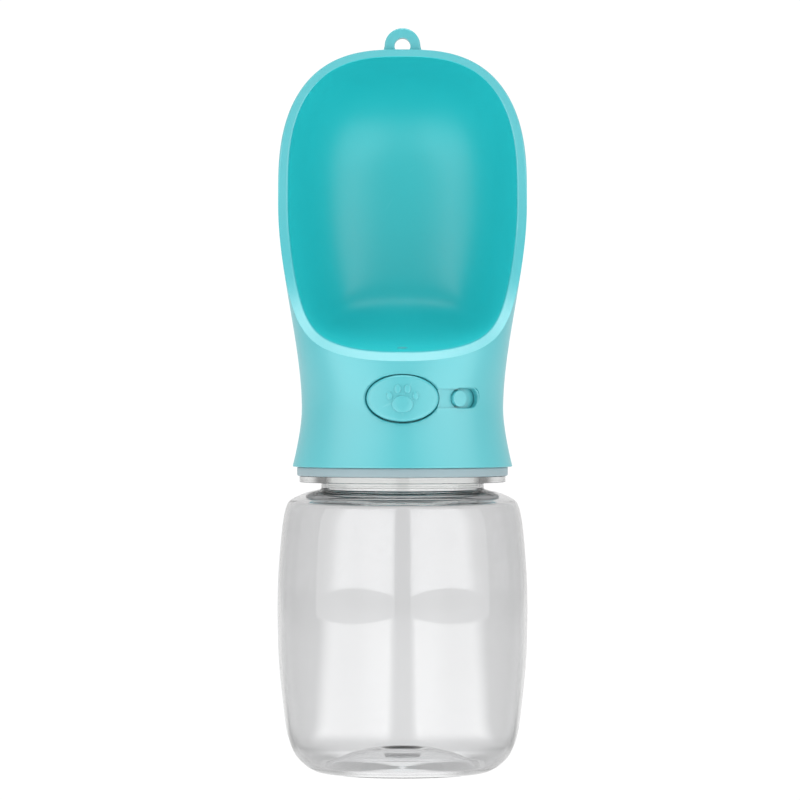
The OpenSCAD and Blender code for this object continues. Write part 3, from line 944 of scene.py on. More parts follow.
    def _on_skirt(
        self, along: float, up: float, radius: float | None, lift: float = 0.0
    ) -> Point:
        """Returns the place on or under the skirt of a point of an opening.

        Args:
            along: Length along the skirt from the front, at the waist's radius.
            up: Height over the valve's axis.
            radius: Distance from the middle, or None for the skirt's own surface.
            lift: Distance out of that surface.

        Returns:
            The point, in millimetres.
        """
        z = self.axis_z + up
        turn = along / self.form.waist_r
        out = (self.form.half_width(z) if radius is None else radius) + lift
        return around(out, turn, z)

    def _button_opening(self) -> bpy.types.Object:
        """Models the oval opening for the button, straight through along Y.

        Returns:
            The cutter.
        """
        wide = self.button_w / 2 + self.button_gap
        high = self.button_h / 2 + self.button_gap

        def oval(turn: float, spread: float) -> Span:
            """Returns a point of the opening's outline.

            Args:
                turn: Radians round the outline.
                spread: Distance outside the edge.

            Returns:
                Length along the skirt and height over the valve's axis.
            """
            across = (wide + spread) * math.cos(turn) - self.gap_left
            return (
                self.form.waist_r * math.asin(across / self.form.waist_r),
                (high + spread) * math.sin(turn) - self.gap_down,
            )

        return self._mouth("button_opening", oval, 20.0)

    def _stadium(self, turn: float, spread: float) -> Span:
        """Returns a point of the lock window's outline.

        Args:
            turn: Radians round the outline.
            spread: Distance outside the edge.

        Returns:
            Length along the skirt and height over the valve's axis.
        """
        radius = self.window_h / 2
        straight = (self.window_w - self.window_h) / 2
        middle = self.form.waist_r * math.radians(self.window_at)
        shift = straight * max(-1.0, min(1.0, math.cos(turn) * 4))
        return (
            middle + shift + (radius + spread) * math.cos(turn),
            (radius + spread) * math.sin(turn),
        )

    def _lock_window(self) -> bpy.types.Object:
        """Models the space of the lock's window."""
        return self._mouth("lock_window", self._stadium, 25.0)

    def _lock_pocket(self) -> bpy.types.Object:
        """Models the pocket in the skirt's inside that the slider runs in.

        Returns:
            The cutter.
        """

        def place(along: float, out: float, up: float) -> Point:
            """Returns the point that a share of the block takes.

            Args:
                along: Share along, from 0 to 1.
                out: Share outwards, from 0 to 1.
                up: Share upwards, from -0.5 to 0.5.

            Returns:
                The point, in millimetres.
            """
            turn = math.radians(mix(self.window_at - self.pocket_before, self.pocket_to, along))
            radius = mix(self.void_r - 1, self.pocket_r, out)
            return around(radius, turn, self.axis_z + self.pocket_h * up)

        return bent_block("lock_pocket", 15, place)

    def _lock_track(self) -> bpy.types.Object:
        """Models the track from the button to the lock's window, deeper at its end.

        Returns:
            The cutter.
        """

        def place(along: float, out: float, up: float) -> Point:
            """Returns the point that a share of the block takes.

            Args:
                along: Share along, from 0 to 1.
                out: Share outwards, from 0 to 1.
                up: Share upwards, from -0.5 to 0.5.

            Returns:
                The point, in millimetres.
            """
            turn = math.radians(mix(self.track_from, self.window_at - 4, along))
            height = self.axis_z + self.window_h * up
            depth = mix(self.track_depth, self.track_end, along)
            radius = self.form.half_width(height) + mix(-depth, 3, out)
            return around(radius, turn, height)

        return bent_block("lock_track", 7, place)


def bent_block(
    name: str, cuts: int, place: Callable[[float, float, float], Point]
) -> bpy.types.Object:
    """Models a block whose points are laid by a rule, as along an arc.

    Args:
        name: The new piece's name.
        cuts: How many times each edge is cut.
        place: Gives a point in millimetres for a share along and outwards, each from
            0 to 1, and a share upwards from -0.5 to 0.5.

    Returns:
        The block.
    """
    bpy.ops.object.select_all(action="DESELECT")
    bpy.ops.mesh.primitive_cube_add(size=MM)
    block = name_new(name)
    bpy.ops.object.mode_set(mode="EDIT")
    bpy.ops.mesh.select_all(action="SELECT")
    bpy.ops.mesh.subdivide(number_cuts=cuts)
    bpy.ops.object.mode_set(mode="OBJECT")
    for vertex in block.data.vertices:
        x, y, z = vertex.co / MM
        vertex.co = Vector(place(x + 0.5, y + 0.5, z)) * MM
    return clean(block)


def plate(
    name: str,
    outline: Sequence[Span],
    y: float,
    thick: float,
    edge: float,
) -> bpy.types.Object:
    """Extrudes an outline of the XZ plane along +Y and rounds its edges.

    Args:
        name: The new piece's name.
        outline: X and Z of each point, in order.
        y: Where the front face lies.
        thick: How thick the plate is.
        edge: Width of the rounding along its edges.

    Returns:
        The plate.
    """
    bpy.ops.object.select_all(action="DESELECT")
    bpy.ops.mesh.primitive_circle_add(vertices=len(outline), radius=MM, fill_type="NGON")
    piece = name_new(name)
    for vertex, (x, z) in zip(piece.data.vertices, outline):
        vertex.co = Vector((x, y, z)) * MM
    bpy.ops.object.mode_set(mode="EDIT")
    bpy.ops.mesh.select_all(action="SELECT")
    bpy.ops.mesh.extrude_region_move(TRANSFORM_OT_translate={"value": (0, thick * MM, 0)})
    bpy.ops.mesh.select_all(action="SELECT")
    bpy.ops.mesh.normals_make_consistent(inside=False)
    bpy.ops.object.mode_set(mode="OBJECT")
    if edge > 0:
        bevel = piece.modifiers.new("edge", "BEVEL")
        bevel.width = edge * MM
        bevel.segments = 4
        bevel.limit_method = "ANGLE"
        bevel.angle_limit = math.radians(50)
        apply_all(piece)
    return piece


def peg(
    name: str, middle: Point, radius: float, length: float, columns: int
) -> bpy.types.Object:
    """Models a plain round peg along Y, used to cut a bore.

    Args:
        name: The new piece's name.
        middle: Its middle.
        radius: Its radius.
        length: Its length.
        columns: How many sides it has.

    Returns:
        The peg.
    """
    bpy.ops.object.select_all(action="DESELECT")
    bpy.ops.mesh.primitive_cylinder_add(
        vertices=columns,
        radius=radius * MM,
        depth=length * MM,
        location=Vector(middle) * MM,
        rotation=(math.pi / 2, 0, 0),
    )
    return settle(name_new(name))


# ---------------------------------------------------------------- button and lock


@dataclass
class PushButton:
    """The oval push button with its raised paw.

    Attributes:
        face_r: Radius of the round face, which follows the skirt.
        back_y: Where the flange's flat back lies.
        flange_r: Radius of the flange's front, which stops against the skirt.
        flange_low: Height at which the flange is cut off below.
        edge: Width of the rounding round the face.
        paw_h: How far the paw stands out.
        pad_edge: Width of the rounding round each pad.
    """

    wide: float = 21.2
    high: float = 13.7
    face_r: float = 31.4
    back_y: float = -22.45
    flange_w: float = 24.2
    flange_h: float = 16.7
    flange_r: float = 27.05
    flange_low: float = 104.5
    axis_z: float = 111.7
    edge: float = 0.9
    paw_h: float = 0.5
    pad_edge: float = 0.3
    columns: int = 128

    def build(self) -> bpy.types.Object:
        """Models the button and returns it.

        Returns:
            The finished piece.
        """
        cap = wrap_globe(
            "button_cap",
            self._rings(),
            (0.0, self.back_y, self.axis_z),
            (0.0, -self.face_r, self.axis_z),
        )
        for x, z, wide, high in self._pads():
            fuse(cap, self._pad(x, z, wide, high))
        smooth(cap, 40)
        return cap

    def _oval(
        self,
        columns: int,
        size: Span,
        front: float,
        middle: Span = (0.0, 0.0),
    ) -> list[Point]:
        """Returns an oval ring on a round face.

        Args:
            columns: How many points it has.
            size: Half its width and half its height.
            front: The face's radius.
            middle: Where its middle lies, sideways and over the valve's axis.

        Returns:
            The ring.
        """
        ring = []
        for column in range(columns):
            turn = math.tau * column / columns
            x = middle[0] + size[0] * math.cos(turn)
            depth = math.sqrt(max(front * front - x * x, 0.0))
            ring.append((x, -depth, self.axis_z + middle[1] + size[1] * math.sin(turn)))
        return ring

    def _rings(self) -> list[list[Point]]:
        """Returns the button's rings from the back of its flange to its face.

        Returns:
            The rings, each a list of points.
        """
        wide, high = self.wide / 2, self.high / 2
        rings = [self._flange(0.5, self.back_y), self._flange(1.0, self.back_y)]
        rings.append(self._flange(1.0, None))
        for front in (self.flange_r, self.face_r - self.edge):
            rings.append(self._oval(self.columns, (wide, high), front))
        steps = 5
        for step in range(1, steps + 1):
            angle = math.pi / 2 * step / steps
            inward = self.edge * (1 - math.cos(angle))
            drop = self.edge * (1 - math.sin(angle))
            size = (wide - inward, high - inward)
            rings.append(self._oval(self.columns, size, self.face_r - drop))
        for share in (0.92, 0.8, 0.65, 0.5, 0.35, 0.2, 0.08):
            size = ((wide - self.edge) * share, (high - self.edge) * share)
            rings.append(self._oval(self.columns, size, self.face_r))
        return rings

    def _flange(self, share: float, y: float | None) -> list[Point]:
        """Returns a ring of the flange that stops the button in the skirt.

        Args:
            share: Its size, as a share of the flange's.
            y: Where it lies, or None for the flange's round front.

        Returns:
            The ring.
        """
        size = (self.flange_w / 2 * share, self.flange_h / 2 * share)
        ring = self._oval(self.columns, size, self.flange_r)
        return [(x, front if y is None else y, max(z, self.flange_low)) for x, front, z in ring]

    def _pads(self) -> list[tuple[float, float, float, float]]:
        """Returns the paw's pads as place and size: one large pad and four toes.

        Returns:
            Each pad's place and size.
        """
        pads = [(0.0, -1.7, 6.2, 5.0)]
        for side in (-1, 1):
            pads.append((side * 1.45, 2.75, 2.0, 2.5))
            pads.append((side * 3.85, 0.75, 1.8, 2.3))
        return pads

    def _pad(self, x: float, z: float, wide: float, high: float) -> bpy.types.Object:
        """Models one raised pad with a rounded edge, sunk into the face.

        Args:
            x: Where the pad's middle lies sideways.
            z: Its height over the valve's axis.
            wide: The pad's width.
            high: The pad's height.

        Returns:
            The pad.
        """
        columns, sunk, crown = 40, 2.0, 0.02
        edge, top = self.pad_edge, self.face_r + self.paw_h
        rings = []
        for inward, drop in ((0.0, sunk), (0.0, edge), (0.03, 0.16), (0.14, 0.04), (edge, 0.0)):
            size = (wide / 2 - inward, high / 2 - inward)
            rings.append(self._oval(columns, size, top - drop, (x, z)))
        rings.append(self._oval(columns, (wide / 4, high / 4), top + crown, (x, z)))
        ends = (top - sunk, top + crown)
        poles = ((x, -math.sqrt(r**2 - x * x), self.axis_z + z) for r in ends)
        return wrap_globe("pad", rings, *poles)


@dataclass
class LockKnob:
    """The lock's slider with its round knob.

    Attributes:
        inner_r: Radius of the slider's inside.
        outer_r: Radius of its outside.
        top_r: Radius up to which the knob stands out.
        knob_at: Degrees from the front to the knob.
        from_angle: Degrees at which the slider starts.
        to_angle: Degrees at which it ends.
        edge: Width of the rounding round the knob.
    """

    inner_r: float = 26.35
    outer_r: float = 28.35
    top_r: float = 30.9
    knob_d: float = 4.9
    knob_at: float = 33.4
    from_angle: float = 30.0
    to_angle: float = 49.0
    high: float = 8.7
    axis_z: float = 111.7
    edge: float = 0.4

    def build(self) -> bpy.types.Object:
        """Models the slider and returns it.

        Returns:
            The finished piece.
        """
        slider = self._plate()
        fuse(slider, self._knob())
        smooth(slider)
        return slider

    def _plate(self) -> bpy.types.Object:
        """Models the curved plate that slides behind the skirt.

        Returns:
            The plate.
        """

        def place(along: float, out: float, up: float) -> Point:
            """Returns the point that a share of the block takes.

            Args:
                along: Share along, from 0 to 1.
                out: Share outwards, from 0 to 1.
                up: Share upwards, from -0.5 to 0.5.

            Returns:
                The point, in millimetres.
            """
            turn = math.radians(mix(self.from_angle, self.to_angle, along))
            radius = mix(self.inner_r, self.outer_r, out)
            return around(radius, turn, self.axis_z + self.high * up)

        return bent_block("lock_slider_knob", 11, place)

    def _knob(self) -> bpy.types.Object:
        """Models the round knob, standing out through the window.

        Returns:
            The knob.
        """
        r = self.knob_d / 2
        low, top = self.outer_r - 1, self.top_r
        section = round_section(
            [(0, low), (r, low), (r, top), (r - 0.9, top + 0.04), (0, top + 0.08)],
            [0, 0, self.edge, 0, 0],
        )
        knob = turn_on_lathe("knob", section, 64)
        knob.rotation_mode = "XYZ"
        knob.rotation_euler = (math.pi / 2, 0, math.radians(self.knob_at))
        knob.location.z = self.axis_z * MM
        return settle(knob)


# ---------------------------------------------------------------- bottle and gasket


@dataclass
class ClearBottle:
    """The blow-moulded bottle with its collar and threaded neck.

    Attributes:
        punt_h: Height of the pushed-up middle of the base.
        collar_z: Height of the collar's underside.
        ridge: How far the thread stands out.
        ridge_steps: Into how many steps one turn of the thread is cut.
        ridge_up: Height of the thread's start over the collar.
        neck_from: Height from which the wall takes the neck's paler tint, painted light.
    """

    body_r: float = 37.5
    shoulder_h: float = 84.8
    wall: float = 1.2
    punt_h: float = 5.6
    neck_r: float = 24.6
    collar_r: float = 30.9
    collar_z: float = 86.6
    collar_top: float = 88.5
    neck_top: float = 100.5
    pitch: float = 4.0
    thread_turns: float = 1.35
    ridge: float = 1.6
    ridge_steps: int = 72
    ridge_up: float = 3.6
    neck_from: float = 83.3
    columns: int = 144

    def build(self, paints: dict[str, bpy.types.Material]) -> bpy.types.Object:
        """Models the bottle and returns it.

        Args:
            paints: The finished materials, by name.

        Returns:
            The bottle, with its body's material first and its neck's second, a paler copy that is
            painted light.
        """
        bottle = turn_on_lathe("bottle_clear", self._section(), self.columns)
        fuse(bottle, self._thread())
        bottle.data.materials.clear()
        for finish in (CLEAR, CLEAR_NECK_LIT):
            bottle.data.materials.append(paints[finish.name])
        # Faces above neck_from take the paler neck copy, which is painted light.
        for face in bottle.data.polygons:
            face.material_index = int(face.center.z > self.neck_from * MM)
        smooth(bottle, 45)
        return bottle

    def _side(self) -> list[Span]:
        """Returns the outside from the middle of the base to the neck's foot.

        Returns:
            Radius and height of each point.
        """
        r, h, p = self.body_r, self.shoulder_h, self.punt_h
        base = [(0, p - 1.4), (4.6, p - 1.4), (5.2, p - 1.2), (6.2, p - 0.2), (7.0, p)]
        base += [(9.5, p - 0.2), (14, p * 0.78), (18, p * 0.48), (20.6, p * 0.2)]
        base += [(22.2, 0.3), (23.4, 0.0)]
        foot = [(r - 12.2, 0.0), (r - 11.1, 0.3), (r - 9.8, 0.95), (r - 8.2, 2.0), (r - 5.8, 4.4)]
        foot += [(r - 4.4, 6.8), (r - 3.5, 9.2), (r - 2.85, 11.6), (r - 2.4, 14.3)]
        foot += [(r - 1.85, 18.8), (r - 1.3, 23.6), (r - 0.82, 28.4), (r - 0.42, 33.2)]
        belly = [(r - 0.14, 40), (r, 49), (r - 0.15, h - 27.6), (r - 0.6, h - 20.4)]
        belly += [(r - 1.0, h - 15.6), (r - 1.5, h - 10.8), (r - 2.2, h - 6.9), (r - 3.1, h - 4.4)]
        belly += [(r - 4.3, h - 3.25), (r - 6.1, h - 2.3), (r - 9, h - 1.2)]
        belly += [(self.neck_r + 0.5, h - 0.4), (self.neck_r - 0.12, h - 0.05)]
        return [*base, *foot, *belly, (self.neck_r - 0.2, h + 0.6)]

    def _section(self) -> list[Span]:
        """Returns the bottle's closed section: outside up, mouth, inside down.

        Returns:
            Radius and height of each point.
        """
        side = [(radius, max(height, 0.0)) for radius, height in round_path(self._side(), 3)]
        n, c, t = self.neck_r, self.collar_r, self.neck_top
        inside = []
        for index in range(len(side) - 4, 0, -1):
            before = Vector(side[index - 1])
            after = Vector(side[index + 1])
            run = (after - before).normalized()
            spot = Vector(side[index]) + Vector((-run.y, run.x)) * self.wall
            if spot.y < self.shoulder_h - 4 or spot.x > n + 1.3:
                inside.append((max(spot.x, 0.0), spot.y))
        inside.append((0.0, self.punt_h - 1.4 + self.wall))
        neck = round_section(
            [
                side[-1],
                (n - 0.2, self.collar_z),
                (c, self.collar_z),
                (c, self.collar_top),
                (n, self.collar_top),
                (n, t),
                (n - 1.7, t),
                (n - 1.6, self.shoulder_h - 1.5),
                inside[0],
            ],
            [0, 0.2, 0.18, 0.18, 0.3, 0.4, 0.4, 0.9, 0],
        )
        return [*side, *neck[1:-1], *inside]

    def _thread(self) -> bpy.types.Object:
        """Models the thread's ridge, which fades out at both ends.

        Returns:
            The ridge.
        """
        steps = round(self.thread_turns * self.ridge_steps)
        root, crest = self.neck_r - 0.2, self.neck_r + self.ridge
        rings = []
        for index in range(steps + 1):
            turn = math.tau * self.thread_turns * index / steps
            fade = min(1.0, 0.1 + min(index, steps - index) / 8)
            z = self.collar_top + self.ridge_up + self.pitch * turn / math.tau
            flank, top = mix(root, crest, fade * 0.8), mix(root, crest, fade)
            upper = [(top, 0.09), (flank, 0.17), (root, 0.26)]
            profile = [*((radius, -height) for radius, height in reversed(upper)), *upper]
            rings.append(
                [
                    (radius * math.cos(turn), radius * math.sin(turn), z + self.pitch * height)
                    for radius, height in profile
                ]
            )
        first, last = (
            tuple(sum(spot[axis] for spot in ring) / len(ring) for axis in range(3))
            for ring in (rings[0], rings[-1])
        )
        return wrap_globe("thread", rings, first, last)


@dataclass
class NeckSeal:
    """The silicone ring between the collar and the head."""

    outer_r: float = 31.6
    inner_r: float = 26.55
    low: float = 88.5
    high: float = 91.2

    def build(self) -> bpy.types.Object:
        """Models the ring and returns it.

        Returns:
            The finished piece.
        """
        section = round_section(
            [
                (self.inner_r, self.low + 1),
                (self.inner_r, self.low),
                (self.outer_r, self.low),
                (self.outer_r, self.high),
                (self.inner_r, self.high),
                (self.inner_r, self.low + 1),
            ],
            [0, 0.3, 0.55, 0.4, 0.3, 0],
        )
        seal = turn_on_lathe("neck_seal", section[:-1], 144)
        smooth(seal, 40)
        return seal


# ---------------------------------------------------------------- finishes


class Blend(Enum):
    """What a mix node mixes: its data type, its two inputs and its output."""

    NUMBERS = ("FLOAT", 2, 3, 0)
    COLOURS = ("RGBA", 6, 7, 2)


class Sketch:
    """Adds nodes to a tree and joins them."""

    def __init__(self, tree: bpy.types.NodeTree) -> None:
        """Starts on an empty tree.

        Args:
            tree: The node tree.
        """
        self.tree = tree
        self.tree.nodes.clear()
        self.across = 0

    def add(self, kind: str, **values: object) -> bpy.types.Node:
        """Adds a node.

        Args:
            kind: The node's type name.
            **values: Properties of the node, or values of its inputs, with spaces
                written as underscores.

        Returns:
            The node.
        """
        node = self.tree.nodes.new(kind)
        node.location.x = self.across
        self.across += 180
        for key, value in values.items():
            if hasattr(node, key):
                setattr(node, key, value)
            else:
                node.inputs[key.replace("_", " ")].default_value = value
        return node

    def join(self, source: Value, target: bpy.types.NodeSocket) -> None:
        """Links an output to an input, or gives the input a plain value.

        Args:
            source: An output, or a plain value.
            target: The input.
        """
        if isinstance(source, bpy.types.NodeSocket):
            self.tree.links.new(source, target)
        else:
            target.default_value = source

    def math(self, operation: str, *values: Value, held: bool = False) -> bpy.types.NodeSocket:
        """Adds a sum, product or other combination of values.

        Args:
            operation: The Math node's operation.
            *values: Outputs of other nodes, or plain numbers.
            held: Whether the result is held between 0 and 1.

        Returns:
            The combined value.
        """
        node = self.add("ShaderNodeMath", operation=operation, use_clamp=held)
        for value, target in zip(values, node.inputs):
            self.join(value, target)
        return node.outputs[0]

    def step(self, value: Value, start_end: Span, low_high: Span, soft: bool = True) -> Value:
        """Adds a step from one level to another.

        Args:
            value: What is stepped.
            start_end: Where the step starts and ends.
            low_high: What it gives before and after.
            soft: Whether it is eased at both ends.

        Returns:
            The stepped value.
        """
        node = self.add("ShaderNodeMapRange", interpolation_type="SMOOTHSTEP" if soft else "LINEAR")
        self.join(value, node.inputs["Value"])
        ends = ("From Min", "From Max", "To Min", "To Max")
        for title, level in zip(ends, (*start_end, *low_high)):
            node.inputs[title].default_value = level
        return node.outputs["Result"]

    def blend(self, kind: Blend, share: Value, first: Value, second: Value) -> Value:
        """Adds a mix of two values.

        Args:
            kind: What is mixed.
            share: 0 for the first alone, 1 for the second.
            first: One value.
            second: The other value.

        Returns:
            The mixed value.
        """
        data_type, first_at, second_at, result_at = kind.value
        node = self.add("ShaderNodeMix", data_type=data_type)
        for value, index in ((share, 0), (first, first_at), (second, second_at)):
            self.join(value, node.inputs[index])
        return node.outputs[result_at]

    def noise(self, place: Value, scale: Value, detail: float, rough: float = 0.5) -> Value:
        """Adds a noise pattern.

        Args:
            place: Where the pattern is read.
            scale: How fine it is.
            detail: How many finer layers it has.
            rough: How strong they are.

        Returns:
            The pattern, from 0 to 1.
        """
        node = self.add("ShaderNodeTexNoise", Detail=detail, Roughness=rough)
        self.join(place, node.inputs["Vector"])
        self.join(scale, node.inputs["Scale"])
        return node.outputs[0]

    def parts(self, vector: Value) -> list[bpy.types.NodeSocket]:
        """Returns the X, Y and Z of a vector.

        Args:
            vector: An output that gives a vector.

        Returns:
            The three outputs.
        """
        node = self.add("ShaderNodeSeparateXYZ")
        self.join(vector, node.inputs[0])
        return list(node.outputs)

    def finish(self, results: dict[str, Value]) -> bpy.types.NodeTree:
        """Joins a group's results to its outputs, by name, and returns its tree.

        Args:
            results: Each output's value, by name.

        Returns:
            The group's tree.
        """
        end = self.add("NodeGroupOutput")
        for title, value in results.items():
            self.join(value, end.inputs[title])
        return self.tree


def new_group(name: str, inputs: dict[str, tuple], outputs: dict[str, str]) -> Sketch:
    """Starts a shared shader group.

    Args:
        name: The group's name.
        inputs: Each input's socket type and default value, by name.
        outputs: Each output's socket type, by name.

    Returns:
        A sketch of the group's tree.
    """
    tree = bpy.data.node_groups.new(name, "ShaderNodeTree")
    for title, (kind, value) in inputs.items():
        socket = tree.interface.new_socket(title, in_out="INPUT", socket_type=kind)
        if value is not None:
            socket.default_value = value
    for title, kind in outputs.items():
        tree.interface.new_socket(title, in_out="OUTPUT", socket_type=kind)
    return Sketch(tree)


VECTOR = "NodeSocketVector"
NUMBER = "NodeSocketFloat"
SHADE = "NodeSocketColor"


def moulded_grain() -> bpy.types.NodeTree:
    """Builds the fine grain that a mould leaves, with slow waves under it.

    Returns:
        The group's tree.
    """
    sketch = new_group(
        "Moulded grain",
        {"Place": (VECTOR, None), "Fineness": (NUMBER, 2600.0), "Waves": (NUMBER, 45.0)},
        {"Height": NUMBER, "Mottle": NUMBER},
    )
    start = sketch.add("NodeGroupInput").outputs
    pits = sketch.noise(start["Place"], start["Fineness"], 3.0, 0.6)
    waves = sketch.noise(start["Place"], start["Waves"], 2.0)
    height = sketch.math("MULTIPLY_ADD", waves, 0.25, sketch.math("MULTIPLY", pits, 0.75))
    return sketch.finish({"Height": height, "Mottle": waves})


def edge_wear() -> bpy.types.NodeTree:
    """Builds the mask of rubbed edges, from the surface's own curve.

    Returns:
        The group's tree.
    """
    sketch = new_group(
        "Edge wear",
        {
            "Colour": (SHADE, (0.5, 0.5, 0.5, 1)),
            "Worn Colour": (SHADE, (0.8, 0.8, 0.8, 1)),
            "Place": (VECTOR, None),
            "Amount": (NUMBER, 0.5),
        },
        {"Colour": SHADE, "Mask": NUMBER},
    )
    start = sketch.add("NodeGroupInput").outputs
    curve = sketch.add("ShaderNodeNewGeometry").outputs["Pointiness"]
    edge = sketch.step(curve, (0.51, 0.60), (0.0, 1.0), soft=False)
    broken = sketch.math("MULTIPLY", edge, sketch.noise(start["Place"], 320.0, 4.0))
    mask = sketch.math("MULTIPLY", broken, start["Amount"], held=True)
    colour = sketch.blend(Blend.COLOURS, mask, start["Colour"], start["Worn Colour"])
    return sketch.finish({"Colour": colour, "Mask": mask})


def settled_dust() -> bpy.types.NodeTree:
    """Builds a mask of fine dust that lies on faces that look up.

    Returns:
        The group's tree.
    """
    sketch = new_group(
        "Settled dust",
        {"Place": (VECTOR, None), "Amount": (NUMBER, 0.1)},
        {"Mask": NUMBER},
    )
    start = sketch.add("NodeGroupInput").outputs
    up = sketch.parts(sketch.add("ShaderNodeNewGeometry").outputs["Normal"])[2]
    specks = sketch.noise(start["Place"], 900.0, 5.0, 0.7)
    spots = sketch.step(specks, (0.55, 0.75), (0.0, 1.0), soft=False)
    flat = sketch.math("MULTIPLY", spots, up, held=True)
    return sketch.finish({"Mask": sketch.math("MULTIPLY", flat, start["Amount"])})


@dataclass(frozen=True)
class Finish:
    """A finish of one kind of plastic, rubber or metal.

    Attributes:
        name: The material's name.
        slot: The record's material slot.
        colour: Linear base colour.
        worn: Linear colour of rubbed edges.
        rough: Roughness of the plain surface.
        uneven: How much the roughness wanders.
        depth: Height of the grain, in millimetres.
        fineness: Scale of the grain.
        wear: Strength of edge wear.
        metallic: 1 for metal.
        ior: Index of refraction.
        clear: Transmission weight.
        coat: Weight of a clear gloss on top.
        coat_rough: Roughness of that gloss.
        under: Weight of light that scatters under the surface.
        dust: Strength of the settled dust.
        deep: Share of the base colour in the mottle's darker places.
        bump: Strength of the grain's relief.
        under_reach: How far red, green and blue light scatters, in shares.
        under_scale: Scale of that, in millimetres.
    """

    name: str
    # slot: The record's material slot; not used.
    slot: str
    colour: Colour
    worn: Colour
    rough: float
    uneven: float = 0.06
    depth: float = 0.004
    fineness: float = 2600.0
    wear: float = 0.4
    metallic: float = 0.0
    ior: float = 1.5
    clear: float = 0.0
    coat: float = 0.0
    coat_rough: float = 0.12
    under: float = 0.0
    dust: float = 0.06
    deep: float = 0.97
    bump: float = 0.6
    under_reach: Colour = (0.6, 1.0, 1.0)
    under_scale: float = 1.2

    def material(self, groups: dict[str, bpy.types.NodeTree]) -> bpy.types.Material:
        """Builds the finish as a node material.

        Args:
            groups: The shared shader groups, by name.

        Returns:
            The material.
        """
        material = bpy.data.materials.new(self.name)
        material.use_nodes = True
        sketch = Sketch(material.node_tree)
        place = sketch.add("ShaderNodeTexCoord").outputs["Object"]
        grain = sketch.add("ShaderNodeGroup", node_tree=groups["grain"], Fineness=self.fineness)
        wear = sketch.add("ShaderNodeGroup", node_tree=groups["wear"], Amount=self.wear)
        dust = sketch.add("ShaderNodeGroup", node_tree=groups["dust"], Amount=self.dust)
        bump = sketch.add("ShaderNodeBump", Strength=self.bump, Distance=self.depth * MM)
        surface = sketch.add("ShaderNodeBsdfPrincipled")
        output = sketch.add("ShaderNodeOutputMaterial")
        for group in (grain, wear, dust):
            sketch.join(place, group.inputs["Place"])
        mottle = grain.outputs["Mottle"]
        deep = (*(c * self.deep for c in self.colour), 1)
        tint = sketch.blend(Blend.COLOURS, mottle, deep, (*self.colour, 1))
        sketch.join(tint, wear.inputs["Colour"])
        sketch.join((*self.worn, 1), wear.inputs["Worn Colour"])
        low_high = (max(self.rough - self.uneven, 0.0), self.rough + self.uneven)
        rough = sketch.step(mottle, (0.0, 1.0), low_high, soft=False)
        dusty = sketch.math("ADD", rough, dust.outputs["Mask"], held=True)
        sketch.join(grain.outputs["Height"], bump.inputs["Height"])
        for title, value in {
            "Base Color": wear.outputs["Colour"],
            "Roughness": dusty,
            "Normal": bump.outputs["Normal"],
            "Metallic": self.metallic,
            "IOR": self.ior,
            "Transmission Weight": self.clear,
            "Coat Weight": self.coat,
            "Coat Roughness": self.coat_rough,
            "Subsurface Weight": self.under,
            "Subsurface Radius": self.under_reach,
            "Subsurface Scale": self.under_scale * MM,
        }.items():
            sketch.join(value, surface.inputs[title])
        sketch.join(surface.outputs[0], output.inputs["Surface"])
        material.diffuse_color = (*self.colour, 1)
        return material


TEAL = Finish(
    "Teal moulded plastic",
    "teal_plastic",
    (0.05, 0.375, 0.415),
    (0.16, 0.50, 0.54),
    0.40,
    ior=1.56,
    coat=0.6,
    coat_rough=0.36,
)
# The bowl's inside: a little smoother than the skin, and a deeper, more saturated teal that is
# painted shade, standing in for the hollow's shadow and the light bouncing round in it.
SHADED_BOWL = Finish(
    "Teal polished bowl, painted shade",
    "teal_plastic",
    (0.018, 0.46, 0.49),
    (0.08, 0.53, 0.56),
    0.36,
    depth=0.002,
    wear=0.2,
)
WHITE = Finish(
    "White moulded plastic", "white_plastic", (0.80, 0.81, 0.80), (0.88, 0.88, 0.87), 0.38
)
CLEAR = Finish(
    "Clear bottle plastic",
    "clear_plastic",
    (0.935, 0.937, 0.942),
    (0.95, 0.95, 0.952),
    0.02,
    uneven=0.01,
    depth=0.002,
    fineness=95.0,
    wear=0.1,
    ior=1.53,
    clear=1.0,
)
# The neck and collar: the same clear plastic with a paler tint, painted light that brightens them
# against the body.
CLEAR_NECK_LIT = replace(
    CLEAR, name="Clear neck plastic, painted lighter", colour=(0.955, 0.965, 0.96), worn=(0.96, 0.96, 0.96)
)
# Grey-teal silicone: partly its own tint, and partly painted shade and teal reflection, darkened to
# the seal's look in the skirt's shadow.
RUBBER = Finish(
    "Translucent silicone with painted shade", "silicone", (0.25, 0.335, 0.365), (0.35, 0.43, 0.45), 0.5, under=0.25
)
STEEL = Finish(
    "Stainless steel",
    "steel",
    (0.62, 0.62, 0.64),
    (0.75, 0.75, 0.76),
    0.26,
    depth=0.001,
    fineness=4200.0,
    metallic=1.0,
)

FINISHES = (TEAL, SHADED_BOWL, WHITE, CLEAR, CLEAR_NECK_LIT, RUBBER, STEEL)

INNER_FINISH = {
    "valve_housing": TEAL,
    "housing_seal": RUBBER,
    "housing_screws": STEEL,
    "screw_seals": RUBBER,
    "outlet_grommet": RUBBER,
    "gland_cap": WHITE,
    "stem_oring": RUBBER,
    "chamber_cap": WHITE,
    "cap_oring": RUBBER,
    "button_spring": STEEL,
    "valve_stem": WHITE,
    "valve_plug": RUBBER,
    "plug_washer": STEEL,
    "stem_clip": STEEL,
    "lock_bracket": WHITE,
    "lock_spring": STEEL,
    "bracket_screws": STEEL,
}


# ---------------------------------------------------------------- studio


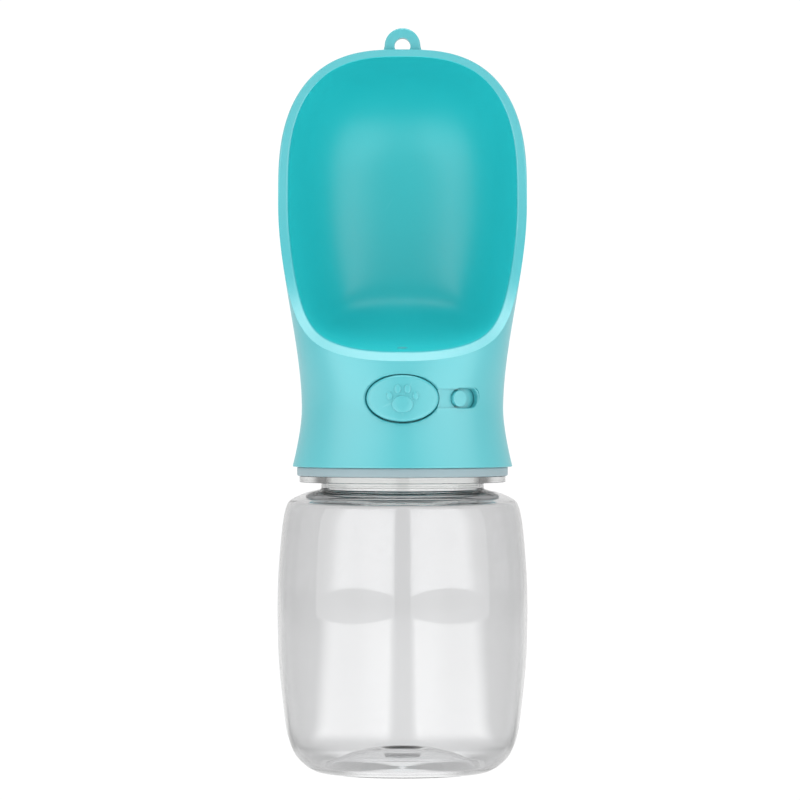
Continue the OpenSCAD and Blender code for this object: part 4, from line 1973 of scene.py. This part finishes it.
@dataclass(frozen=True)
class FloorPaint:
    """The floor's paint: plain white to the camera, and lit in parts to the bottle.

    Gloss and clear plastic see the floor and the cove with bright parts in front and
    behind, darker ones at the sides, and two bright fields in front that carry on the
    softboxes. A ray that has passed through clear plastic counts as a gloss ray too, so
    it sees the fields as well. Matt surfaces get the even light of a pale floor. A
    bearing is the Y of a direction from the middle: -1 is in front and 1 behind.

    Attributes:
        box_turn: Degrees from the front to a softbox.
        box_away: How far away the softboxes are, in metres.
        white: How bright the floor is to the camera.
        front_y: Y between which the even light grows from front to back.
        front_glow: The even light before and after that.
        side_x: Distance aside between which it fades.
        side_glow: Its share before and after that.
        field_start: Bearings between which the bright fields begin.
        field_end: Bearings between which they end.
        field_near: Distances between which they begin.
        field_fade: Half the width of their edge under a softbox.
        field_glow: How bright they are.
        behind_from: Bearings, forwards or back, between which the ends grow bright.
        back_white: How bright the ends are through clear plastic.
        side_dark: How bright the sides are through it.
        under_reach: Distances between which the floor under the bottle fades.
        under_grey: How bright it is through clear plastic.
        matt_shade: The paint's own grey to matt surfaces.
        gloss_shade: Its own grey to gloss and clear plastic.
    """

    box_turn: float
    box_away: float
    white: float = 1.05
    front_y: Span = (-1.4, -0.2)
    front_glow: Span = (0.15, 0.85)
    side_x: Span = (0.38, 0.80)
    side_glow: Span = (1.0, 0.75)
    field_start: Span = (-0.998, -0.975)
    field_end: Span = (-0.45, -0.10)
    field_near: Span = (0.045, 0.075)
    field_fade: float = 0.01
    field_glow: float = 2.45
    behind_from: Span = (0.68, 0.95)
    back_white: float = 0.67
    side_dark: float = 0.14
    under_reach: Span = (0.040, 0.055)
    under_grey: float = 0.30
    matt_shade: float = 0.28
    gloss_shade: float = 0.10

    def material(self) -> bpy.types.Material:
        """Builds the paint and returns it.

        Returns:
            The paint.
        """
        paint = bpy.data.materials.new("Pale floor")
        paint.use_nodes = True
        sketch = Sketch(paint.node_tree)
        x, y, _ = sketch.parts(sketch.add("ShaderNodeTexCoord").outputs["Object"])
        aside = sketch.math("ABSOLUTE", x)
        flat = sketch.add("ShaderNodeCombineXYZ")
        sketch.join(x, flat.inputs["X"])
        sketch.join(y, flat.inputs["Y"])
        length = sketch.add("ShaderNodeVectorMath", operation="LENGTH")
        compass = sketch.add("ShaderNodeVectorMath", operation="NORMALIZE")
        for node in (length, compass):
            sketch.join(flat.outputs[0], node.inputs[0])
        away = length.outputs["Value"]
        bearing = sketch.parts(compass.outputs["Vector"])[1]
        ray = sketch.add("ShaderNodeLightPath").outputs
        through = ray["Is Transmission Ray"]
        gloss = sketch.math("MAXIMUM", ray["Is Glossy Ray"], through)
        even = sketch.math(
            "MULTIPLY",
            sketch.step(y, self.front_y, self.front_glow),
            sketch.step(aside, self.side_x, self.side_glow),
        )
        behind = self._behind(sketch, bearing, away)
        fields = self._fields(sketch, aside, y, bearing, away)
        shown = sketch.math("MULTIPLY", fields, ray["Is Glossy Ray"])
        glow = sketch.math("ADD", sketch.blend(Blend.NUMBERS, through, even, behind), shown)
        matt, shiny = ((grey, grey, grey, 1) for grey in (self.matt_shade, self.gloss_shade))
        surface = sketch.add("ShaderNodeBsdfPrincipled", Roughness=0.9, Specular_IOR_Level=0.1)
        plain = sketch.add("ShaderNodeEmission", Strength=self.white)
        seen = sketch.add("ShaderNodeMixShader")
        output = sketch.add("ShaderNodeOutputMaterial")
        shade = sketch.blend(Blend.COLOURS, gloss, matt, shiny)
        sketch.join(shade, surface.inputs["Base Color"])
        sketch.join((1, 1, 1, 1), surface.inputs["Emission Color"])
        sketch.join(glow, surface.inputs["Emission Strength"])
        sketch.join(ray["Is Camera Ray"], seen.inputs[0])
        sketch.join(surface.outputs[0], seen.inputs[1])
        sketch.join(plain.outputs[0], seen.inputs[2])
        sketch.join(seen.outputs[0], output.inputs["Surface"])
        return paint

    def _fields(
        self, sketch: Sketch, aside: Value, y: Value, bearing: Value, away: Value
    ) -> Value:
        """Adds the two bright fields, which end under the softboxes' panels.

        Args:
            sketch: The paint's nodes.
            aside: Distance aside from the middle.
            y: Distance back from it.
            bearing: The direction from it.
            away: The distance from it.

        Returns:
            The fields' brightness.
        """
        turn = math.radians(self.box_turn)
        towards = sketch.math("MULTIPLY", aside, math.sin(turn))
        towards = sketch.math("MULTIPLY_ADD", y, -math.cos(turn), towards)
        edge = (self.box_away - self.field_fade, self.box_away + self.field_fade)
        fields = sketch.step(bearing, self.field_start, (0.0, 1.0))
        for value, span, levels in (
            (bearing, self.field_end, (self.field_glow, 0.0)),
            (away, self.field_near, (0.0, 1.0)),
            (towards, edge, (1.0, 0.0)),
        ):
            fields = sketch.math("MULTIPLY", fields, sketch.step(value, span, levels))
        return fields

    def _behind(self, sketch: Sketch, bearing: Value, away: Value) -> Value:
        """Adds what clear plastic shows: bright ends, dark sides and a grey middle.

        Args:
            sketch: The paint's nodes.
            bearing: The direction from the middle.
            away: The distance from it.

        Returns:
            The brightness.
        """
        ends = sketch.math("ABSOLUTE", bearing)
        ends = sketch.step(ends, self.behind_from, (self.side_dark, self.back_white))
        return sketch.math("ADD", ends, sketch.step(away, self.under_reach, (self.under_grey, 0.0)))


@dataclass
class Studio:
    """The pale floor that curves up far away, the soft lights and the camera.

    Lengths are metres here, and turns are degrees from the front.

    Attributes:
        lens: The camera's focal length, in millimetres.
        sensor: The width of its sensor, in millimetres.
        cove_r: Radius of the whole floor.
        cove_bend: Radius at which it curves up.
        cove_high: Height up to which it rises.
        box_up: Height of the side softboxes' middles.
        box_glow: How bright they are.
        side_edge: Share of a softbox's glow that is left at its sides.
        end_edge: Share that is left at its top and bottom.
        flat_glow: Shares of a softbox's size between which its glow falls.
        top_aim: Height that the top softbox faces.
        room_glow: Strength of the even light all round.
    """

    camera_back: float = 1.2
    camera_up: float = 0.1112
    camera_side: float = -0.00075
    lens: float = 180.0
    sensor: float = 36.0
    near_clip: float = 0.05
    cove_r: float = 2.2
    cove_bend: float = 0.7
    cove_high: float = 2.6
    box_away: float = 0.62
    box_turn: float = 46.0
    box_size: Span = (1.0, 0.5)
    box_up: float = 0.25
    box_glow: float = 2.4
    top_place: Point = (0.0, -0.12, 1.2)
    top_size: Span = (1.2, 0.8)
    top_aim: float = 0.11
    top_glow: float = 5.0
    side_edge: float = 0.55
    end_edge: float = 0.9
    flat_glow: Span = (0.05, 0.5)
    room_glow: float = 0.3

    def build(self) -> None:
        """Sets up the whole studio."""
        self._floor()
        self._world()
        for side, name in ((-1, "left_softbox"), (1, "right_softbox")):
            turn = math.radians(self.box_turn) * side
            spot = (self.box_away * math.sin(turn), -self.box_away * math.cos(turn), self.box_up)
            self._softbox(name, spot, self.box_size, self.box_glow)
        self._softbox("top_softbox", self.top_place, self.top_size, self.top_glow)
        self._camera()

    def _floor(self) -> None:
        """Models the floor, which curves up far away, and marks it as stage."""
        r, bend = self.cove_r / MM, self.cove_bend / MM
        section = [(0, 0), (r * 0.3, 0), (r - bend, 0)]
        for angle in range(10, 91, 10):
            turn = math.radians(angle)
            section.append((r - bend + bend * math.sin(turn), bend - bend * math.cos(turn)))
        section.append((r, self.cove_high / MM))
        floor = turn_on_lathe("studio_floor", section, 96, closed=False)
        select_only(floor)
        bpy.ops.object.mode_set(mode="EDIT")
        bpy.ops.mesh.select_all(action="SELECT")
        bpy.ops.mesh.flip_normals()
        bpy.ops.object.mode_set(mode="OBJECT")
        smooth(floor, 60)
        floor.data.materials.append(FloorPaint(self.box_turn, self.box_away).material())

    def _world(self) -> None:
        """Sets the faint even light all round."""
        world = bpy.data.worlds.new("Soft room light")
        world.use_nodes = True
        light = world.node_tree.nodes["Background"].inputs
        light["Color"].default_value = (1, 1, 1, 1)
        light["Strength"].default_value = self.room_glow
        bpy.context.scene.world = world

    def _softbox(self, name: str, place: Point, size: Span, glow: float) -> None:
        """Hangs one softbox, brightest in its middle, that faces the bottle.

        Args:
            name: The light's name.
            place: Where it hangs, in metres.
            size: Its width and height, in metres.
            glow: How bright its middle is, where 1 is the floor's white.
        """
        light = bpy.data.lights.new(name, "AREA")
        light.shape = "RECTANGLE"
        light.size, light.size_y = size
        light.energy = glow * math.pi * size[0] * size[1]
        light.use_nodes = True
        sketch = Sketch(light.node_tree)
        falls = []
        where = sketch.add("ShaderNodeNewGeometry").outputs["Parametric"]
        for across, edge in zip(sketch.parts(where), (self.side_edge, self.end_edge)):
            reach = sketch.math("ABSOLUTE", sketch.math("SUBTRACT", across, 0.5))
            falls.append(sketch.step(reach, self.flat_glow, (1.0, edge)))
        panel = sketch.add("ShaderNodeEmission")
        output = sketch.add("ShaderNodeOutputLight")
        sketch.join(sketch.math("MULTIPLY", *falls), panel.inputs["Strength"])
        sketch.join(panel.outputs[0], output.inputs[0])
        holder = bpy.data.objects.new(name, light)
        bpy.context.scene.collection.objects.link(holder)
        holder.location = place
        holder.visible_camera = False
        holder.visible_transmission = False
        aim = Vector((0, 0, self.box_up if place[0] else self.top_aim)) - Vector(place)
        holder.rotation_euler = aim.to_track_quat("-Z", "Y").to_euler()

    def _camera(self) -> None:
        """Places the camera where the photograph was taken from."""
        lens = bpy.data.cameras.new("product_camera")
        lens.lens = self.lens
        lens.sensor_width = self.sensor
        lens.clip_start = self.near_clip
        camera = bpy.data.objects.new("product_camera", lens)
        bpy.context.scene.collection.objects.link(camera)
        camera.location = (self.camera_side, -self.camera_back, self.camera_up)
        camera.rotation_euler = (math.pi / 2, 0, 0)
        bpy.context.scene.camera = camera
        bpy.context.scene.view_settings.view_transform = "Standard"


# ---------------------------------------------------------------- the whole


def read_form() -> HeadForm:
    """Reads the head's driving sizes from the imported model.

    Returns:
        The head's surface.
    """
    low, high = (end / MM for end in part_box("head_shell"))
    head = DrinkingHead
    crown = high.z - head.ring_w / 2 - head.ring_bore / 2 + head.ring_drop
    return HeadForm(head_z=low.z, crown_z=crown, bowl_w=2 * high.x, bowl_back=high.y)


def place(
    piece: bpy.types.Object,
    body: Body,
    node: str,
    finish: Finish,
    paints: dict[str, bpy.types.Material],
) -> None:
    """Gives a new piece its finish and its body, in place of a CAD node.

    Args:
        piece: The piece, which may carry its materials already.
        body: The body it rides on.
        node: The CAD node that it stands for.
        finish: Its finish.
        paints: The finished materials, by name.
    """
    if not piece.data.materials:
        piece.data.materials.append(paints[finish.name])
    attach(piece, body.value)
    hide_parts(node)
    LOG.info("%s: %d faces, rides on %s", piece.name, len(piece.data.polygons), body.value)


def main() -> None:
    """Builds the pieces, dresses them and sets up the studio."""
    logging.basicConfig(level=logging.INFO, format="%(message)s")
    groups = {"grain": moulded_grain(), "wear": edge_wear(), "dust": settled_dust()}
    paints = {f.name: f.material(groups) for f in FINISHES}
    place(DrinkingHead(read_form()).build(paints), Body.HEAD, "head_shell", TEAL, paints)
    place(PushButton().build(), Body.BUTTON, "button", TEAL, paints)
    place(LockKnob().build(), Body.LOCK, "lock_slider", TEAL, paints)
    place(ClearBottle().build(paints), Body.BOTTLE, "bottle", CLEAR, paints)
    place(NeckSeal().build(), Body.GASKET, "neck_gasket", RUBBER, paints)
    for name, finish in INNER_FINISH.items():
        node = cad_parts[name]
        node.data.materials.clear()
        node.data.materials.append(paints[finish.name])
        LOG.info("%s: carried over as %s", name, finish.name)
    Studio().build()


if __name__ == "__main__":
    main()
